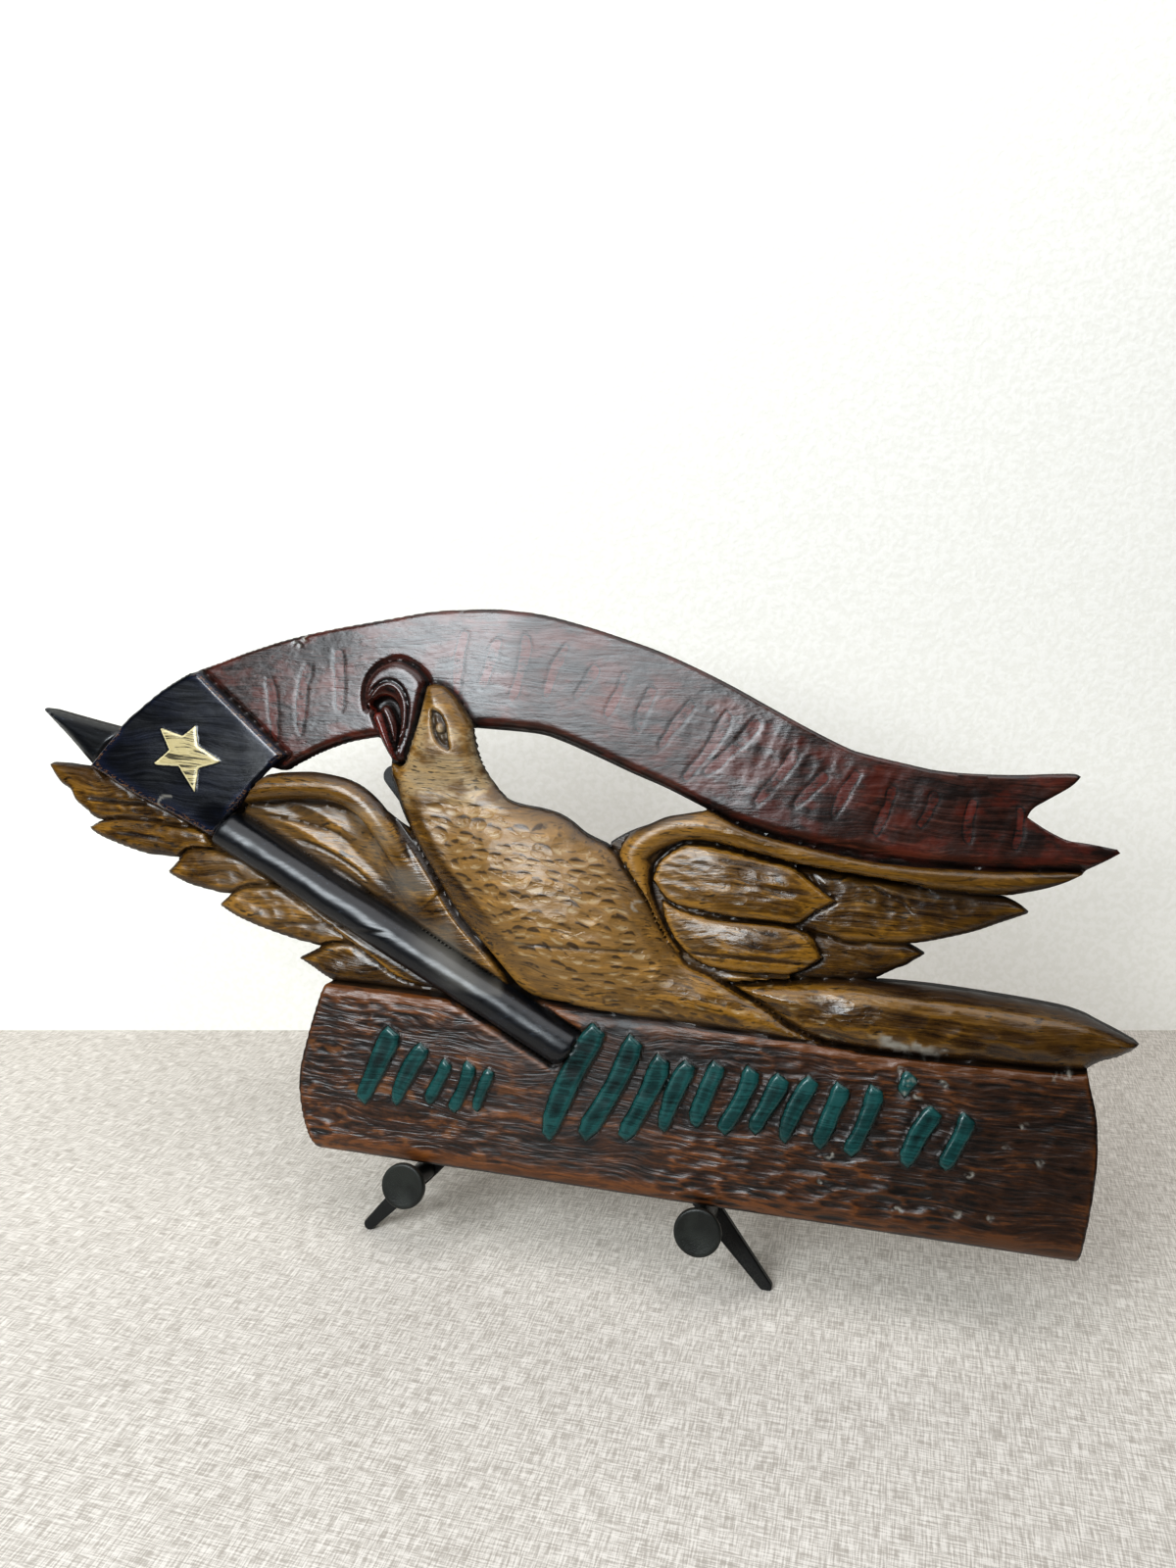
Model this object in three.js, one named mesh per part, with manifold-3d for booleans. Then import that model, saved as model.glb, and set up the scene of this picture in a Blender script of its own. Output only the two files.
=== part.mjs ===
// Carved eagle plaque on its stand: an eagle holds a streaming banner over a log.
// Millimetres, +Z up, the carved face towards -Y, the origin under the middle of the whole.
// The plaque is drawn in its own frame, which leans back: x along the width, y up the face,
// z out of the flat back. x = 0 is midway between its two end tips, y = 0 the log's underside.
import * as THREE from 'three';
import * as BufferGeometryUtils from 'three/addons/utils/BufferGeometryUtils.js';
import Module from 'manifold-3d';

const wasm = await Module();
wasm.setup();

// Driving dimensions
const lean = THREE.MathUtils.degToRad(14);
const clearance = 0.3;             // between pieces that touch
const carvingPitch = 6;            // spacing of the points on a rounded surface
const overrun = 1;                 // how far a cutting shape runs past what it cuts
const roundSides = 20;

const logHeight = 23;              // heights of the carved forms above the flat back
const bannerHeight = 20;
const cantonHeight = 24;
const finialHeight = 17;
const featherHeight = 14;
const featherStep = 1;             // every other left feather lies this much higher
const longFeatherHeight = 17;
const wingPanelHeight = 18;
const leafHeight = 24;
const ridgeHeight = 28;
const bodyHeight = 26;
const headHeight = 30;
const beakHeight = 25;
const tailHeight = 25;
const mouthDepth = 6;
const eyeDepth = 2;
const logWidth = 97;

const logRound = 10;               // radii of the rounded-over edges
const ridgeRound = 7.5;
const leafRound = 9;
const headRound = 8;
const tailRound = 14;
const finialRound = 10;

const breastHeight = 36;           // the breast is half an egg on the body
const breastCentre = [20, 150];
const breastHalfLength = 98;
const breastHalfWidth = 54;
const breastTilt = THREE.MathUtils.degToRad(-40);

const poleStart = [-186, 178.5];   // centre line of the half-round pole
const poleEnd = [34, 72.5];
const poleRadius = 12;
const poleAxisHeight = 17;

const starCentre = [-215, 218.5];
const viewpoint = [198.7, 210.7, 630.3];   // the outlines are drawn as they look from here,
const drawnPlane = 12;                     // on a plane this far above the back
const seen = {                     // heights at which the edges of the forms are seen
  log: 21, leftFeathers: 12, wing: 18, wingEdge: 20, rightFeathers: 14, leaf: 20, tail: 16,
  body: 20, banner: 18.5, beak: 22, eye: 29, pole: 19, finial: 13, canton: 22.5, star: 24.8, stroke: 25,
};

const starPoints = 5;
const starOuter = 20;
const starInner = 8.3;
const starTurn = THREE.MathUtils.degToRad(3);
const starRise = 1;
const strokes = [                  // raised on the log: middle x, middle y, length, width
  [-78, 50, 46, 12], [-58, 47, 38, 10], [-41, 45, 27, 8], [-27, 44, 29, 8], [-14, 44, 25, 7],
  [37, 54, 68, 13], [57, 54, 62, 12], [76, 51, 50, 11], [94, 54, 40, 10], [110, 57, 36, 10],
  [126, 56, 38, 9.5], [142, 56, 34, 10], [158, 55, 37, 9.5], [174, 54, 35, 9.5], [190, 54, 38, 9],
  [211, 75, 12, 8], [219, 49, 33, 10], [236, 49, 30, 9],
];
const strokeSlope = THREE.MathUtils.degToRad(68);
const strokeSway = 0.06;           // each stroke slants a little differently
const strokeSwayStep = 5;
const strokeRise = 2.2;
const strokeEdge = 1.5;

const pivot = [32, 84];            // where the stand's legs cross, in the plaque frame
const standHeight = 44.1;          // the log's underside above the floor, at the back face
const legAngle = THREE.MathUtils.degToRad(48);
const legWidth = 12;
const legThick = 5;
const legLower = 173;
const legUpper = 178.5;
const legTaper = 48;
const legEdge = 0.6;
const footRadius = 3.2;
const pinRadius = 3;
const pinHeadRadius = 5.5;
const pinHeadThick = 2;
const pegRadius = 5.5;
const discRadius = 12.3;
const discThick = 4;
const discEdge = 0.9;
const discFace = 33;               // the disc's face above the plaque's back
const discSides = 24;
const strutWidth = 14;
const strutHeadHalf = 15;
const strutReach = 132;            // the back foot behind the log's underside

// Outlines and solids

// A drawn point at its own height: nearer to the viewpoint's foot the higher it lies.
function placed([x, y], level) {
  const share = (viewpoint[2] - level) / (viewpoint[2] - drawnPlane);
  return new THREE.Vector2(x - viewpoint[0], y - viewpoint[1])
    .multiplyScalar(share)
    .add(new THREE.Vector2(viewpoint[0], viewpoint[1]));
}

function outline(level, start, ...stretches) {
  // A pair is a straight run to it; a list of pairs is a smooth curve through them.
  const shape = new THREE.Shape();
  shape.moveTo(...placed(start, level));
  for (const stretch of stretches) {
    if (typeof stretch[0] === 'number') shape.lineTo(...placed(stretch, level));
    else shape.splineThru(stretch.map((point) => placed(point, level)));
  }
  return shape;
}

function solid(geometry) {
  const bare = geometry.clone();
  bare.deleteAttribute('normal');
  bare.deleteAttribute('uv');
  const merged = BufferGeometryUtils.mergeVertices(bare, 1e-4);
  return new wasm.Manifold(new wasm.Mesh({
    numProp: 3,
    vertProperties: merged.attributes.position.array,
    triVerts: Uint32Array.from(merged.index.array),
  }));
}

function geometryOf(manifold) {
  const made = manifold.getMesh();
  const geometry = new THREE.BufferGeometry();
  geometry.setAttribute('position', new THREE.BufferAttribute(made.vertProperties, 3));
  geometry.setIndex(new THREE.BufferAttribute(made.triVerts, 1));
  geometry.computeVertexNormals();
  return geometry;
}

function join(parts) {
  return parts.reduce((whole, part) => whole.add(part));
}

function block(shape, low, high) {
  const geometry = new THREE.ExtrudeGeometry(shape, {
    depth: high - low,
    bevelEnabled: false,
    curveSegments: 2,
  });
  return solid(geometry.translate(0, 0, low));
}

function rod(radius, low, high, [x, y]) {
  const geometry = new THREE.CylinderGeometry(radius, radius, high - low, roundSides);
  return solid(geometry.rotateX(Math.PI / 2).translate(x, y, (low + high) / 2));
}

// Distance from a point to a closed run of points, positive inside it and negative outside.
function depthInside(points, x, y) {
  let nearest = Infinity;
  let inside = false;
  for (let i = 0; i < points.length; i += 1) {
    const a = points[i];
    const b = points[(i + 1) % points.length];
    const runX = b.x - a.x;
    const runY = b.y - a.y;
    const along = ((x - a.x) * runX + (y - a.y) * runY) / (runX * runX + runY * runY || 1);
    const share = THREE.MathUtils.clamp(along, 0, 1);
    nearest = Math.min(nearest, Math.hypot(x - a.x - share * runX, y - a.y - share * runY));
    if (a.y > y !== b.y > y && x < a.x + ((y - a.y) * runX) / runY) inside = !inside;
  }
  return inside ? nearest : -nearest;
}

// A form inside an outline, `height` high, its edge rounded over by a quarter circle of radius
// `round`: a block under a surface of points that lie as deep under the top as the circle does.
function rounded(shape, height, round) {
  const points = shape.getPoints(3);
  const { min, max } = new THREE.Box2().setFromPoints(points).expandByScalar(overrun);
  const columns = Math.ceil((max.x - min.x) / carvingPitch);
  const rows = Math.ceil((max.y - min.y) / carvingPitch);
  const geometry = new THREE.BoxGeometry(max.x - min.x, max.y - min.y, height, columns, rows);
  geometry.translate((min.x + max.x) / 2, (min.y + max.y) / 2, height / 2);
  const position = geometry.attributes.position;
  for (let i = 0; i < position.count; i += 1) {
    if (position.getZ(i) > height / 2) {
      const depth = depthInside(points, position.getX(i), position.getY(i));
      const short = THREE.MathUtils.clamp(round - depth, 0, round);
      position.setZ(i, height - round + Math.sqrt(round * round - short * short));
    }
  }
  return solid(geometry).intersect(block(shape, 0, height));
}

// The banner, from the canton over the head to its forked end
const banner = block(outline(seen.banner,
  [-214, 266],
  [[-207.5, 270.6], [-175, 282.5], [-140, 293], [-90, 303], [-45, 309.8], [-15, 310]],
  [[30, 302], [70, 290], [110, 273], [150, 253], [181, 240.6], [220, 233.8], [283, 236.2]],
  [[272, 224.5], [260.3, 214.4]],
  [[272, 206.5], [290, 202], [305, 200]],
  [287.5, 187.8],
  [[250, 183], [200, 184], [160, 189], [125, 197]],
  [103, 207.3],
  [[80, 216.9], [40, 232.5], [5, 243.5], [-28.8, 245]],
  [-87, 236.9],
  [[-110, 231.9], [-130, 223.5], [-147, 213.8]],
  [-158, 216],
), 0, bannerHeight);

// The starred field at the banner's left end, and the pole's pointed head beyond it
const canton = block(outline(seen.canton,
  [-280.4, 208.5],
  [[-260, 233.5], [-240, 251.3], [-208, 270.5]],
  [-147.5, 222],
  [[-162, 208.8], [-176, 191.5], [-195, 171.3]],
  [[-240, 189.6], [-280.4, 208.5]],
), 0, cantonHeight);

const finial = rounded(outline(seen.finial,
  [-319, 242.3],
  [-313.8, 243.8],
  [-250, 231.5],
  [-268, 203],
  [[-282.5, 213.8], [-295, 223.8], [-319, 242.3]],
), finialHeight, finialRound);

// The left wing: five feathers, the panel they spring from and its rounded leading edge
const leftFeathers = [
  outline(seen.leftFeathers,
    [-309.8, 208.5],
    [[-295, 209.8], [-279, 209]],
    [-262, 214],
    [-205, 190],
    [-205, 165],
    [-255, 177],
    [[-267.5, 176.3], [-288.8, 187.5], [-309.8, 208.5]],
  ),
  outline(seen.leftFeathers,
    [-277.3, 171.5],
    [[-266, 177.3], [-252, 179.8], [-225, 180]],
    [-180, 172],
    [-192.5, 164.4],
    [-210, 163],
    [[-216, 158.5], [-237.5, 159], [-260, 164.2], [-277.3, 171.5]],
  ),
  outline(seen.leftFeathers,
    [-221.5, 149],
    [[-213.8, 158.8], [-208, 164], [-190, 166]],
    [-140, 160],
    [-150, 145],
    [[-180, 139.4], [-203, 142.2], [-221.5, 149]],
  ),
  outline(seen.leftFeathers,
    [-184.7, 132.8],
    [[-178, 138.5], [-170, 144], [-150, 148]],
    [-70, 125],
    [-84, 108],
    [[-120, 114.4], [-145, 119], [-168, 124.7], [-184.7, 132.8]],
  ),
  outline(seen.leftFeathers,
    [-131.3, 106.4],
    [[-122, 111.6], [-113, 117], [-90, 119]],
    [-30, 104],
    [-30, 92],
    [[-111, 96.3], [-120, 100.5], [-131.3, 106.4]],
  ),
].map((shape, i) => block(shape, 0, featherHeight + featherStep * (i % 2)));

const leftPanel = block(outline(seen.wing,
  [-180, 189],
  [-156, 208],
  [-85, 198],
  [-60, 181],
  [-5, 108],
  [-40, 110],
  [-190, 168],
), 0, wingPanelHeight);

const leftLeadingEdge = rounded(outline(seen.wingEdge,
  [-170, 194],
  [-156, 211],
  [[-140, 213.3], [-120, 214.2], [-100, 210.6], [-85, 203.5], [-72.5, 196.5]],
  [[-50, 160], [-15, 121.3], [6.3, 101.3]],
  [[-30, 116], [-62, 148], [-86, 182], [-104, 193.5], [-128, 197], [-170, 194]],
), ridgeHeight, ridgeRound);

// The right wing: two long feathers, a panel, the leading edge and three leaf-shaped coverts
const rightFeathers = [
  block(outline(seen.rightFeathers,
    [120, 180],
    [[205, 176], [254, 173]],
    [[260, 170.4], [264.4, 166.5]],
    [[237.5, 154.4], [217.5, 148.1], [205.6, 146]],
    [[180, 143.5], [165, 146], [120, 150]],
  ), 0, longFeatherHeight),
  block(outline(seen.rightFeathers,
    [120, 152],
    [205.6, 147],
    [[211, 143.7], [215.9, 141]],
    [[206, 133.8], [191.9, 126.3]],
    [120, 120],
  ), 0, featherHeight),
];

const rightPanel = block(outline(seen.wing,
  [50, 183],
  [103, 204],
  [170, 186],
  [170, 120],
  [135, 102],
  [86, 124],
  [66, 160],
), 0, wingPanelHeight);

const rightLeadingEdge = rounded(outline(seen.wingEdge,
  [48.8, 185],
  [[65, 193], [85, 202.5], [103, 206.5]],
  [[130, 198.5], [170, 191.8], [230, 187], [289.5, 188.7]],
  [[270, 178.8], [253.8, 174]],
  [[220, 173.4], [160, 180.6], [110, 189.5], [90, 189]],
  [[74, 178], [72, 166], [82, 142]],
  [[70, 160], [60, 172.5], [48.8, 185]],
), ridgeHeight, ridgeRound);

const coverts = [
  outline(seen.leaf,
    [74, 165],
    [[80, 180], [93.8, 187.8], [132.5, 183.1], [152.5, 177], [170.6, 164.1]],
    [[158, 155.5], [148, 151], [110, 152], [80, 157], [74, 165]],
  ),
  outline(seen.leaf,
    [83, 152],
    [[120, 150], [148, 149.3], [159, 144.5], [165, 134.3]],
    [[155, 126.5], [145, 124], [108, 124], [90, 133], [83, 152]],
  ),
  outline(seen.leaf,
    [110.6, 121.3],
    [[128, 121.5], [144, 119]],
    [[133, 109.5], [110.6, 121.3]],
  ),
].map((shape) => rounded(shape, leafHeight, leafRound));

// The body, the head and the hooked beak, which lies on the banner
const trunkShape = outline(seen.body,
  [-79, 222],
  [[-77.5, 211.3], [-62.5, 181.3], [-50, 160], [-15, 121.3], [6.3, 101.3]],
  [20, 92],
  [170, 88],
  [[150, 98.8], [120, 113.8], [96.3, 123.8], [81.3, 138.8], [70, 160], [48.1, 184.4]],
  [[29, 196], [3, 203.2], [-15.5, 210.8], [-27.8, 230], [-32, 246]],
  [-70, 240],
);

// The breast is half an egg, cut to the outline of the body
function body() {
  const egg = new THREE.SphereGeometry(1, 28, 18);
  egg.scale(breastHalfLength, breastHalfWidth, breastHeight);
  egg.rotateZ(breastTilt);
  egg.translate(...placed(breastCentre, seen.body), 0);
  const breast = solid(egg).intersect(block(trunkShape, 0, breastHeight + overrun));
  return block(trunkShape, 0, bodyHeight).add(breast);
}

const head = rounded(outline(seen.body,
  [-79, 221],
  [[-72.5, 222], [-66.3, 242.5], [-63, 266.5]],
  [[-56, 267.4], [-47, 262], [-38, 252], [-32, 240], [-23, 220]],
  [-50, 200],
  [-74, 202],
), headHeight, headRound);

const hood = block(outline(seen.beak,
  [-70, 221.5],
  [[-65, 245], [-62, 267.5], [-72.5, 278], [-87.5, 279.4], [-98.5, 270.5], [-100.2, 253]],
  [[-90, 240.5], [-79, 222.5]],
), 0, beakHeight);

const mouth = block(outline(seen.beak,
  [-79, 228],
  [[-70.5, 242], [-68.5, 258], [-73, 270], [-84, 273.5], [-93, 268], [-95.5, 259]],
  [[-86, 243], [-79, 228]],
), beakHeight - mouthDepth, beakHeight + overrun);

const eye = block(outline(seen.eye,
  [-57.5, 251.9],
  [[-53.5, 250.5], [-49.5, 243], [-47.5, 232.5]],
  [[-53, 235.5], [-56.5, 243], [-57.5, 251.9]],
), headHeight - eyeDepth, headHeight + overrun);

const tail = rounded(outline(seen.tail,
  [120, 116],
  [150, 98.5],
  [170, 88],
  [292, 88],
  [[304, 98.7], [318, 107.2]],
  [[300, 115.6], [285, 120], [240, 124.6], [193.1, 124.8], [144, 121]],
), tailHeight, tailRound);

// The log: its long edges are rounded over, and its ends are cut to slightly bulging lines
function log() {
  const ends = outline(seen.log,
    [-110, -overrun],
    [294, -overrun],
    [[298.5, 14], [301.5, 50], [299.5, 72], [294.4, 92.8]],
    [293, logWidth + overrun],
    [-110, logWidth + overrun],
    [[-117.5, 78.8], [-124.5, 46], [-121.3, 17.5], [-110, -overrun]],
  );
  const { min, max } = new THREE.Box2().setFromPoints(ends.getPoints()).expandByScalar(overrun);
  const profile = new THREE.Shape();
  profile.lineTo(logWidth, 0);
  profile.absarc(logWidth - logRound, logHeight - logRound, logRound, 0, Math.PI / 2);
  profile.absarc(logRound, logHeight - logRound, logRound, Math.PI / 2, Math.PI);
  const geometry = new THREE.ExtrudeGeometry(profile, {
    depth: max.x - min.x,
    bevelEnabled: false,
    curveSegments: 5,
  });
  const axes = [new THREE.Vector3(0, 1, 0), new THREE.Vector3(0, 0, 1), new THREE.Vector3(1, 0, 0)];
  geometry.applyMatrix4(new THREE.Matrix4().makeBasis(...axes));
  return solid(geometry.translate(min.x, 0, 0)).intersect(block(ends, 0, logHeight + overrun));
}

// The pole is half round; its far end is hidden under the canton
function pole() {
  const start = placed(poleStart, seen.pole);
  const end = placed(poleEnd, seen.pole);
  const run = end.clone().sub(start);
  const geometry = new THREE.CylinderGeometry(poleRadius, poleRadius, run.length(), roundSides);
  geometry.rotateZ(run.angle() - Math.PI / 2);
  const middle = start.add(end).divideScalar(2);
  return solid(geometry.translate(middle.x, middle.y, poleAxisHeight));
}

function star() {
  const corners = Array.from({ length: 2 * starPoints }, (_, i) => {
    const radius = i % 2 ? starInner : starOuter;
    const angle = Math.PI / 2 + starTurn + (i * Math.PI) / starPoints;
    return [starCentre[0] + radius * Math.cos(angle), starCentre[1] + radius * Math.sin(angle)];
  });
  const shape = outline(seen.star, corners[0], ...corners.slice(1));
  return block(shape, cantonHeight - overrun, cantonHeight + starRise);
}

// Slanting strokes raised on the log, in rows; each has round ends and a bevelled edge
function stroke([x, y, length, width], k) {
  const half = (length - width) / 2;
  const bar = new THREE.Shape();
  bar.absarc(half, 0, width / 2, -Math.PI / 2, Math.PI / 2);
  bar.absarc(-half, 0, width / 2, Math.PI / 2, (3 * Math.PI) / 2);
  const geometry = new THREE.ExtrudeGeometry(bar, {
    depth: strokeRise,
    bevelEnabled: true,
    bevelThickness: strokeEdge,
    bevelSize: strokeEdge,
    bevelOffset: -strokeEdge,
    bevelSegments: 1,
    curveSegments: 5,
  });
  geometry.rotateZ(strokeSlope + strokeSway * Math.sin(strokeSwayStep * k));
  return solid(geometry.translate(...placed([x, y], seen.stroke), logHeight - strokeEdge));
}

// The whole carving is one piece of wood with a flat back
function plaque() {
  const carved = join([
    log(), banner, ...leftFeathers, leftPanel, leftLeadingEdge, ...rightFeathers, rightPanel,
    rightLeadingEdge, tail, ...coverts, body(), head, hood, finial, canton, star(),
    ...strokes.map(stroke),
  ]);
  return carved.subtract(mouth).subtract(eye).add(pole());
}

// Everything under the floor, as a block in the plaque frame
function underFloor() {
  const size = 4 * Math.max(legLower, strutReach);
  const geometry = new THREE.BoxGeometry(size, size, size);
  geometry.translate(0, 0, -standHeight - size / 2);
  return solid(geometry.rotateX(lean - Math.PI / 2));
}

// A flat leg of the stand: parallel, round at the top, tapering to a small round foot.
// `hand` is -1 for the leg whose foot is on the left; `front` is the height of its front face.
function leg(hand, front) {
  const bar = new THREE.Shape();
  bar.absarc(legUpper, 0, legWidth / 2, -Math.PI / 2, Math.PI / 2);
  bar.lineTo(-legLower + legTaper, legWidth / 2);
  bar.absarc(-legLower + footRadius, 0, footRadius, Math.PI / 2, (3 * Math.PI) / 2);
  bar.lineTo(-legLower + legTaper, -legWidth / 2);
  const geometry = new THREE.ExtrudeGeometry(bar, {
    depth: legThick - 2 * legEdge,
    bevelEnabled: true,
    bevelThickness: legEdge,
    bevelSize: legEdge,
    bevelOffset: -legEdge,
    bevelSegments: 1,
    curveSegments: 6,
  });
  geometry.rotateZ(hand < 0 ? legAngle : Math.PI - legAngle);
  geometry.translate(pivot[0], pivot[1], front - legThick + legEdge);
  const hole = rod(pinRadius + clearance, front - legThick - overrun, front + overrun, pivot);
  return solid(geometry).subtract(hole).subtract(underFloor());
}

// A round peg on a leg, with the broad disc that keeps the plaque from sliding off
function peg(hand, back) {
  const along = (pivot[1] + pegRadius + clearance) / Math.tan(legAngle);
  const profile = [
    [0, back],
    [pegRadius, back],
    [pegRadius, discFace - discThick],
    [discRadius - discEdge, discFace - discThick],
    [discRadius, discFace - discThick + discEdge],
    [discRadius, discFace - discEdge],
    [discRadius - discEdge, discFace],
    [0, discFace],
  ].map(([radius, height]) => new THREE.Vector2(radius, height));
  const geometry = new THREE.LatheGeometry(profile, discSides).rotateX(Math.PI / 2);
  return solid(geometry.translate(pivot[0] + hand * along, -pegRadius - clearance, 0));
}

// The back leg: a flat head behind the crossing, bent back and down to its own foot
function backLeg(front) {
  const middle = front - legThick / 2;
  const bendAt = pivot[1] - strutHeadHalf;
  const footY = strutReach * Math.sin(lean) - standHeight * Math.cos(lean);
  const footZ = -strutReach * Math.cos(lean) - standHeight * Math.sin(lean);
  const run = new THREE.Vector2(footY - bendAt, footZ - middle);
  const length = run.length() + legThick;
  const headPlate = new THREE.BoxGeometry(strutWidth, 2 * strutHeadHalf, legThick)
    .translate(pivot[0], pivot[1], middle);
  const bend = new THREE.CylinderGeometry(legThick / 2, legThick / 2, strutWidth, roundSides)
    .rotateZ(Math.PI / 2)
    .translate(pivot[0], bendAt, middle);
  const shank = new THREE.BoxGeometry(strutWidth, length, legThick)
    .translate(0, length / 2, 0)
    .rotateX(run.angle())
    .translate(pivot[0], bendAt, middle);
  const hole = rod(pinRadius + clearance, front - legThick - overrun, front + overrun, pivot);
  return join([headPlate, bend, shank].map(solid)).subtract(hole).subtract(underFloor());
}

function pivotPin(back) {
  const headFront = back - clearance;
  const shank = rod(pinRadius, headFront - pinHeadThick / 2, -2 * clearance, pivot);
  return shank.add(rod(pinHeadRadius, headFront - pinHeadThick, headFront, pivot));
}

const wood = new THREE.MeshStandardMaterial({ color: 0x5a3a1e, roughness: 0.42, metalness: 0 });
const black = new THREE.MeshStandardMaterial({ color: 0x1c1d1c, roughness: 0.5, metalness: 0.1 });
const grey = new THREE.MeshStandardMaterial({ color: 0x333533, roughness: 0.4, metalness: 0.2 });

function piece(name, manifold, material) {
  const mesh = new THREE.Mesh(geometryOf(manifold), material);
  mesh.name = name;
  return mesh;
}

const frontFace = -clearance;
const rearFace = frontFace - legThick - clearance;
const strutFace = rearFace - legThick - clearance;

const leaning = new THREE.Group();
leaning.rotation.x = Math.PI / 2 - lean;
leaning.add(
  piece('carved_plaque', plaque(), wood),
  piece('front_leg_left', leg(-1, frontFace), black),
  piece('front_leg_right', leg(1, rearFace), black),
  piece('back_leg', backLeg(strutFace), black),
  piece('pivot_pin', pivotPin(strutFace - legThick), black),
  piece('peg_left', peg(-1, frontFace + clearance), grey),
  piece('peg_right', peg(1, rearFace + clearance), grey),
);

const part = new THREE.Group();
part.add(leaning);
part.updateMatrixWorld(true);
const extent = new THREE.Box3().setFromObject(part, true);
const middle = extent.getCenter(new THREE.Vector3());
leaning.position.set(-middle.x, -middle.y, -extent.min.z);

export default part;
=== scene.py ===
import math

import bmesh
import bpy
import numpy as np
from mathutils import Matrix, Vector


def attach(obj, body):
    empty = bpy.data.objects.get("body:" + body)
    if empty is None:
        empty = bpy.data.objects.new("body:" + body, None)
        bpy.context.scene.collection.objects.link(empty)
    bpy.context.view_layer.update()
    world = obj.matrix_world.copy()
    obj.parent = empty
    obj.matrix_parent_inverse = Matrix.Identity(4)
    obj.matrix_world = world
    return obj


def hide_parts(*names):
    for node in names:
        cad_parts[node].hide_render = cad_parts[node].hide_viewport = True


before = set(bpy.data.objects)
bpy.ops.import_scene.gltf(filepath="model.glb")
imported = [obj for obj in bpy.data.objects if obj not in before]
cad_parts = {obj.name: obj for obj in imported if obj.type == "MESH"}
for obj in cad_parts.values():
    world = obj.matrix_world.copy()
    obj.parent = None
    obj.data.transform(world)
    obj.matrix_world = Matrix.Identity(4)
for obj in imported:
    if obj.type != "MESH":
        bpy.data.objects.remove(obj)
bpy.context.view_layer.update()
mm = 0.001

# The plaque leans back; its own frame has s along the width, t up the face and h out of the back.
plaqueFrame = {
    "node": "carved_plaque",
    "lean": math.radians(14),
    "middle": -0.467,   # s midway between the tips
}


def nodePoints(name):  # a CAD node's points, one row each, in millimetres
    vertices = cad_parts[name].data.vertices
    points = np.empty(len(vertices) * 3)
    vertices.foreach_get("co", points)
    return points.reshape(-1, 3) / mm


acrossAxis = np.array([1.0, 0.0, 0.0])
upAxis = np.array([0.0, math.sin(plaqueFrame["lean"]), math.cos(plaqueFrame["lean"])])
outAxis = np.array([0.0, -math.cos(plaqueFrame["lean"]), math.sin(plaqueFrame["lean"])])
cadPoints = nodePoints(plaqueFrame["node"])
plaqueMiddle = (cadPoints[:, 0].min() + cadPoints[:, 0].max()) / 2 - plaqueFrame["middle"]
plaqueOrigin = (  # s = 0, on the log's underside and the flat back
    plaqueMiddle * acrossAxis
    + (cadPoints @ upAxis).min() * upAxis
    + (cadPoints @ outAxis).min() * outAxis
)


def toRow(s, t, h):  # origin + s across + t up + h out, then millimetres to metres
    place = plaqueOrigin + np.outer(s, acrossAxis) + np.outer(t, upAxis) + np.outer(h, outAxis)
    return place * mm


# Lines and distances

def smoothRun(points, steps=6):
    # a Catmull-Rom curve: each stretch is the cubic that leaves and arrives along its neighbours' chords
    p = np.array(points, float)
    if len(p) < 3:
        return p
    padded = np.vstack([2 * p[0] - p[1], p, 2 * p[-1] - p[-2]])
    a, b, c, d = padded[:-3], padded[1:-2], padded[2:-1], padded[3:]
    u = (np.arange(steps) / steps)[:, None, None]
    cubic = 2 * b + (c - a) * u + (2 * a - 5 * b + 4 * c - d) * u**2 + (3 * b - a - 3 * c + d) * u**3
    return np.vstack([(cubic / 2).transpose(1, 0, 2).reshape(-1, 2), p[-1]])


def outline(*runs):  # smooth runs joined at corners; each one starts where the last one ends
    line = [smoothRun(runs[0])]
    for run in runs[1:]:
        line.append(smoothRun([tuple(line[-1][-1])] + list(run))[1:])
    points = np.vstack(line)
    return points[:-1] if np.allclose(points[0], points[-1]) else points


def depthInside(points, s, t):
    # distance to the nearest stretch of a closed line, positive inside, where a ray to one side crosses
    # the line an odd number of times
    nearest = np.full(s.shape, 1e9)
    odd = np.zeros(s.shape, bool)
    for (aS, aT), (bS, bT) in zip(points, np.roll(points, -1, axis=0)):
        runS, runT = bS - aS, bT - aT
        share = np.clip(((s - aS) * runS + (t - aT) * runT) / (runS**2 + runT**2 + 1e-12), 0, 1)
        nearest = np.minimum(nearest, (s - aS - share * runS) ** 2 + (t - aT - share * runT) ** 2)
        if aT != bT:
            odd ^= ((aT > t) != (bT > t)) & (s < aS + (t - aT) * runS / runT)
    return np.where(odd, 1, -1) * np.sqrt(nearest)


def besideLine(points, s, t):
    # distance to an open line, negative to its right, and the share of the line before its nearest point
    lengths = np.hypot(*np.diff(points, axis=0).T)
    starts = np.concatenate([[0], np.cumsum(lengths)])
    nearest = np.full(s.shape, 1e9)
    along = np.zeros(s.shape)
    for (aS, aT), (bS, bT), start, length in zip(points[:-1], points[1:], starts, lengths):
        runS, runT = bS - aS, bT - aT
        share = np.clip(((s - aS) * runS + (t - aT) * runT) / length**2, 0, 1)
        offS, offT = s - aS - share * runS, t - aT - share * runT
        side = np.where(runS * offT - runT * offS < 0, -1, 1) * np.hypot(offS, offT)
        closer = np.abs(side) < np.abs(nearest)
        nearest = np.where(closer, side, nearest)
        along = np.where(closer, (start + share * length) / starts[-1], along)
    return nearest, along


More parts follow.
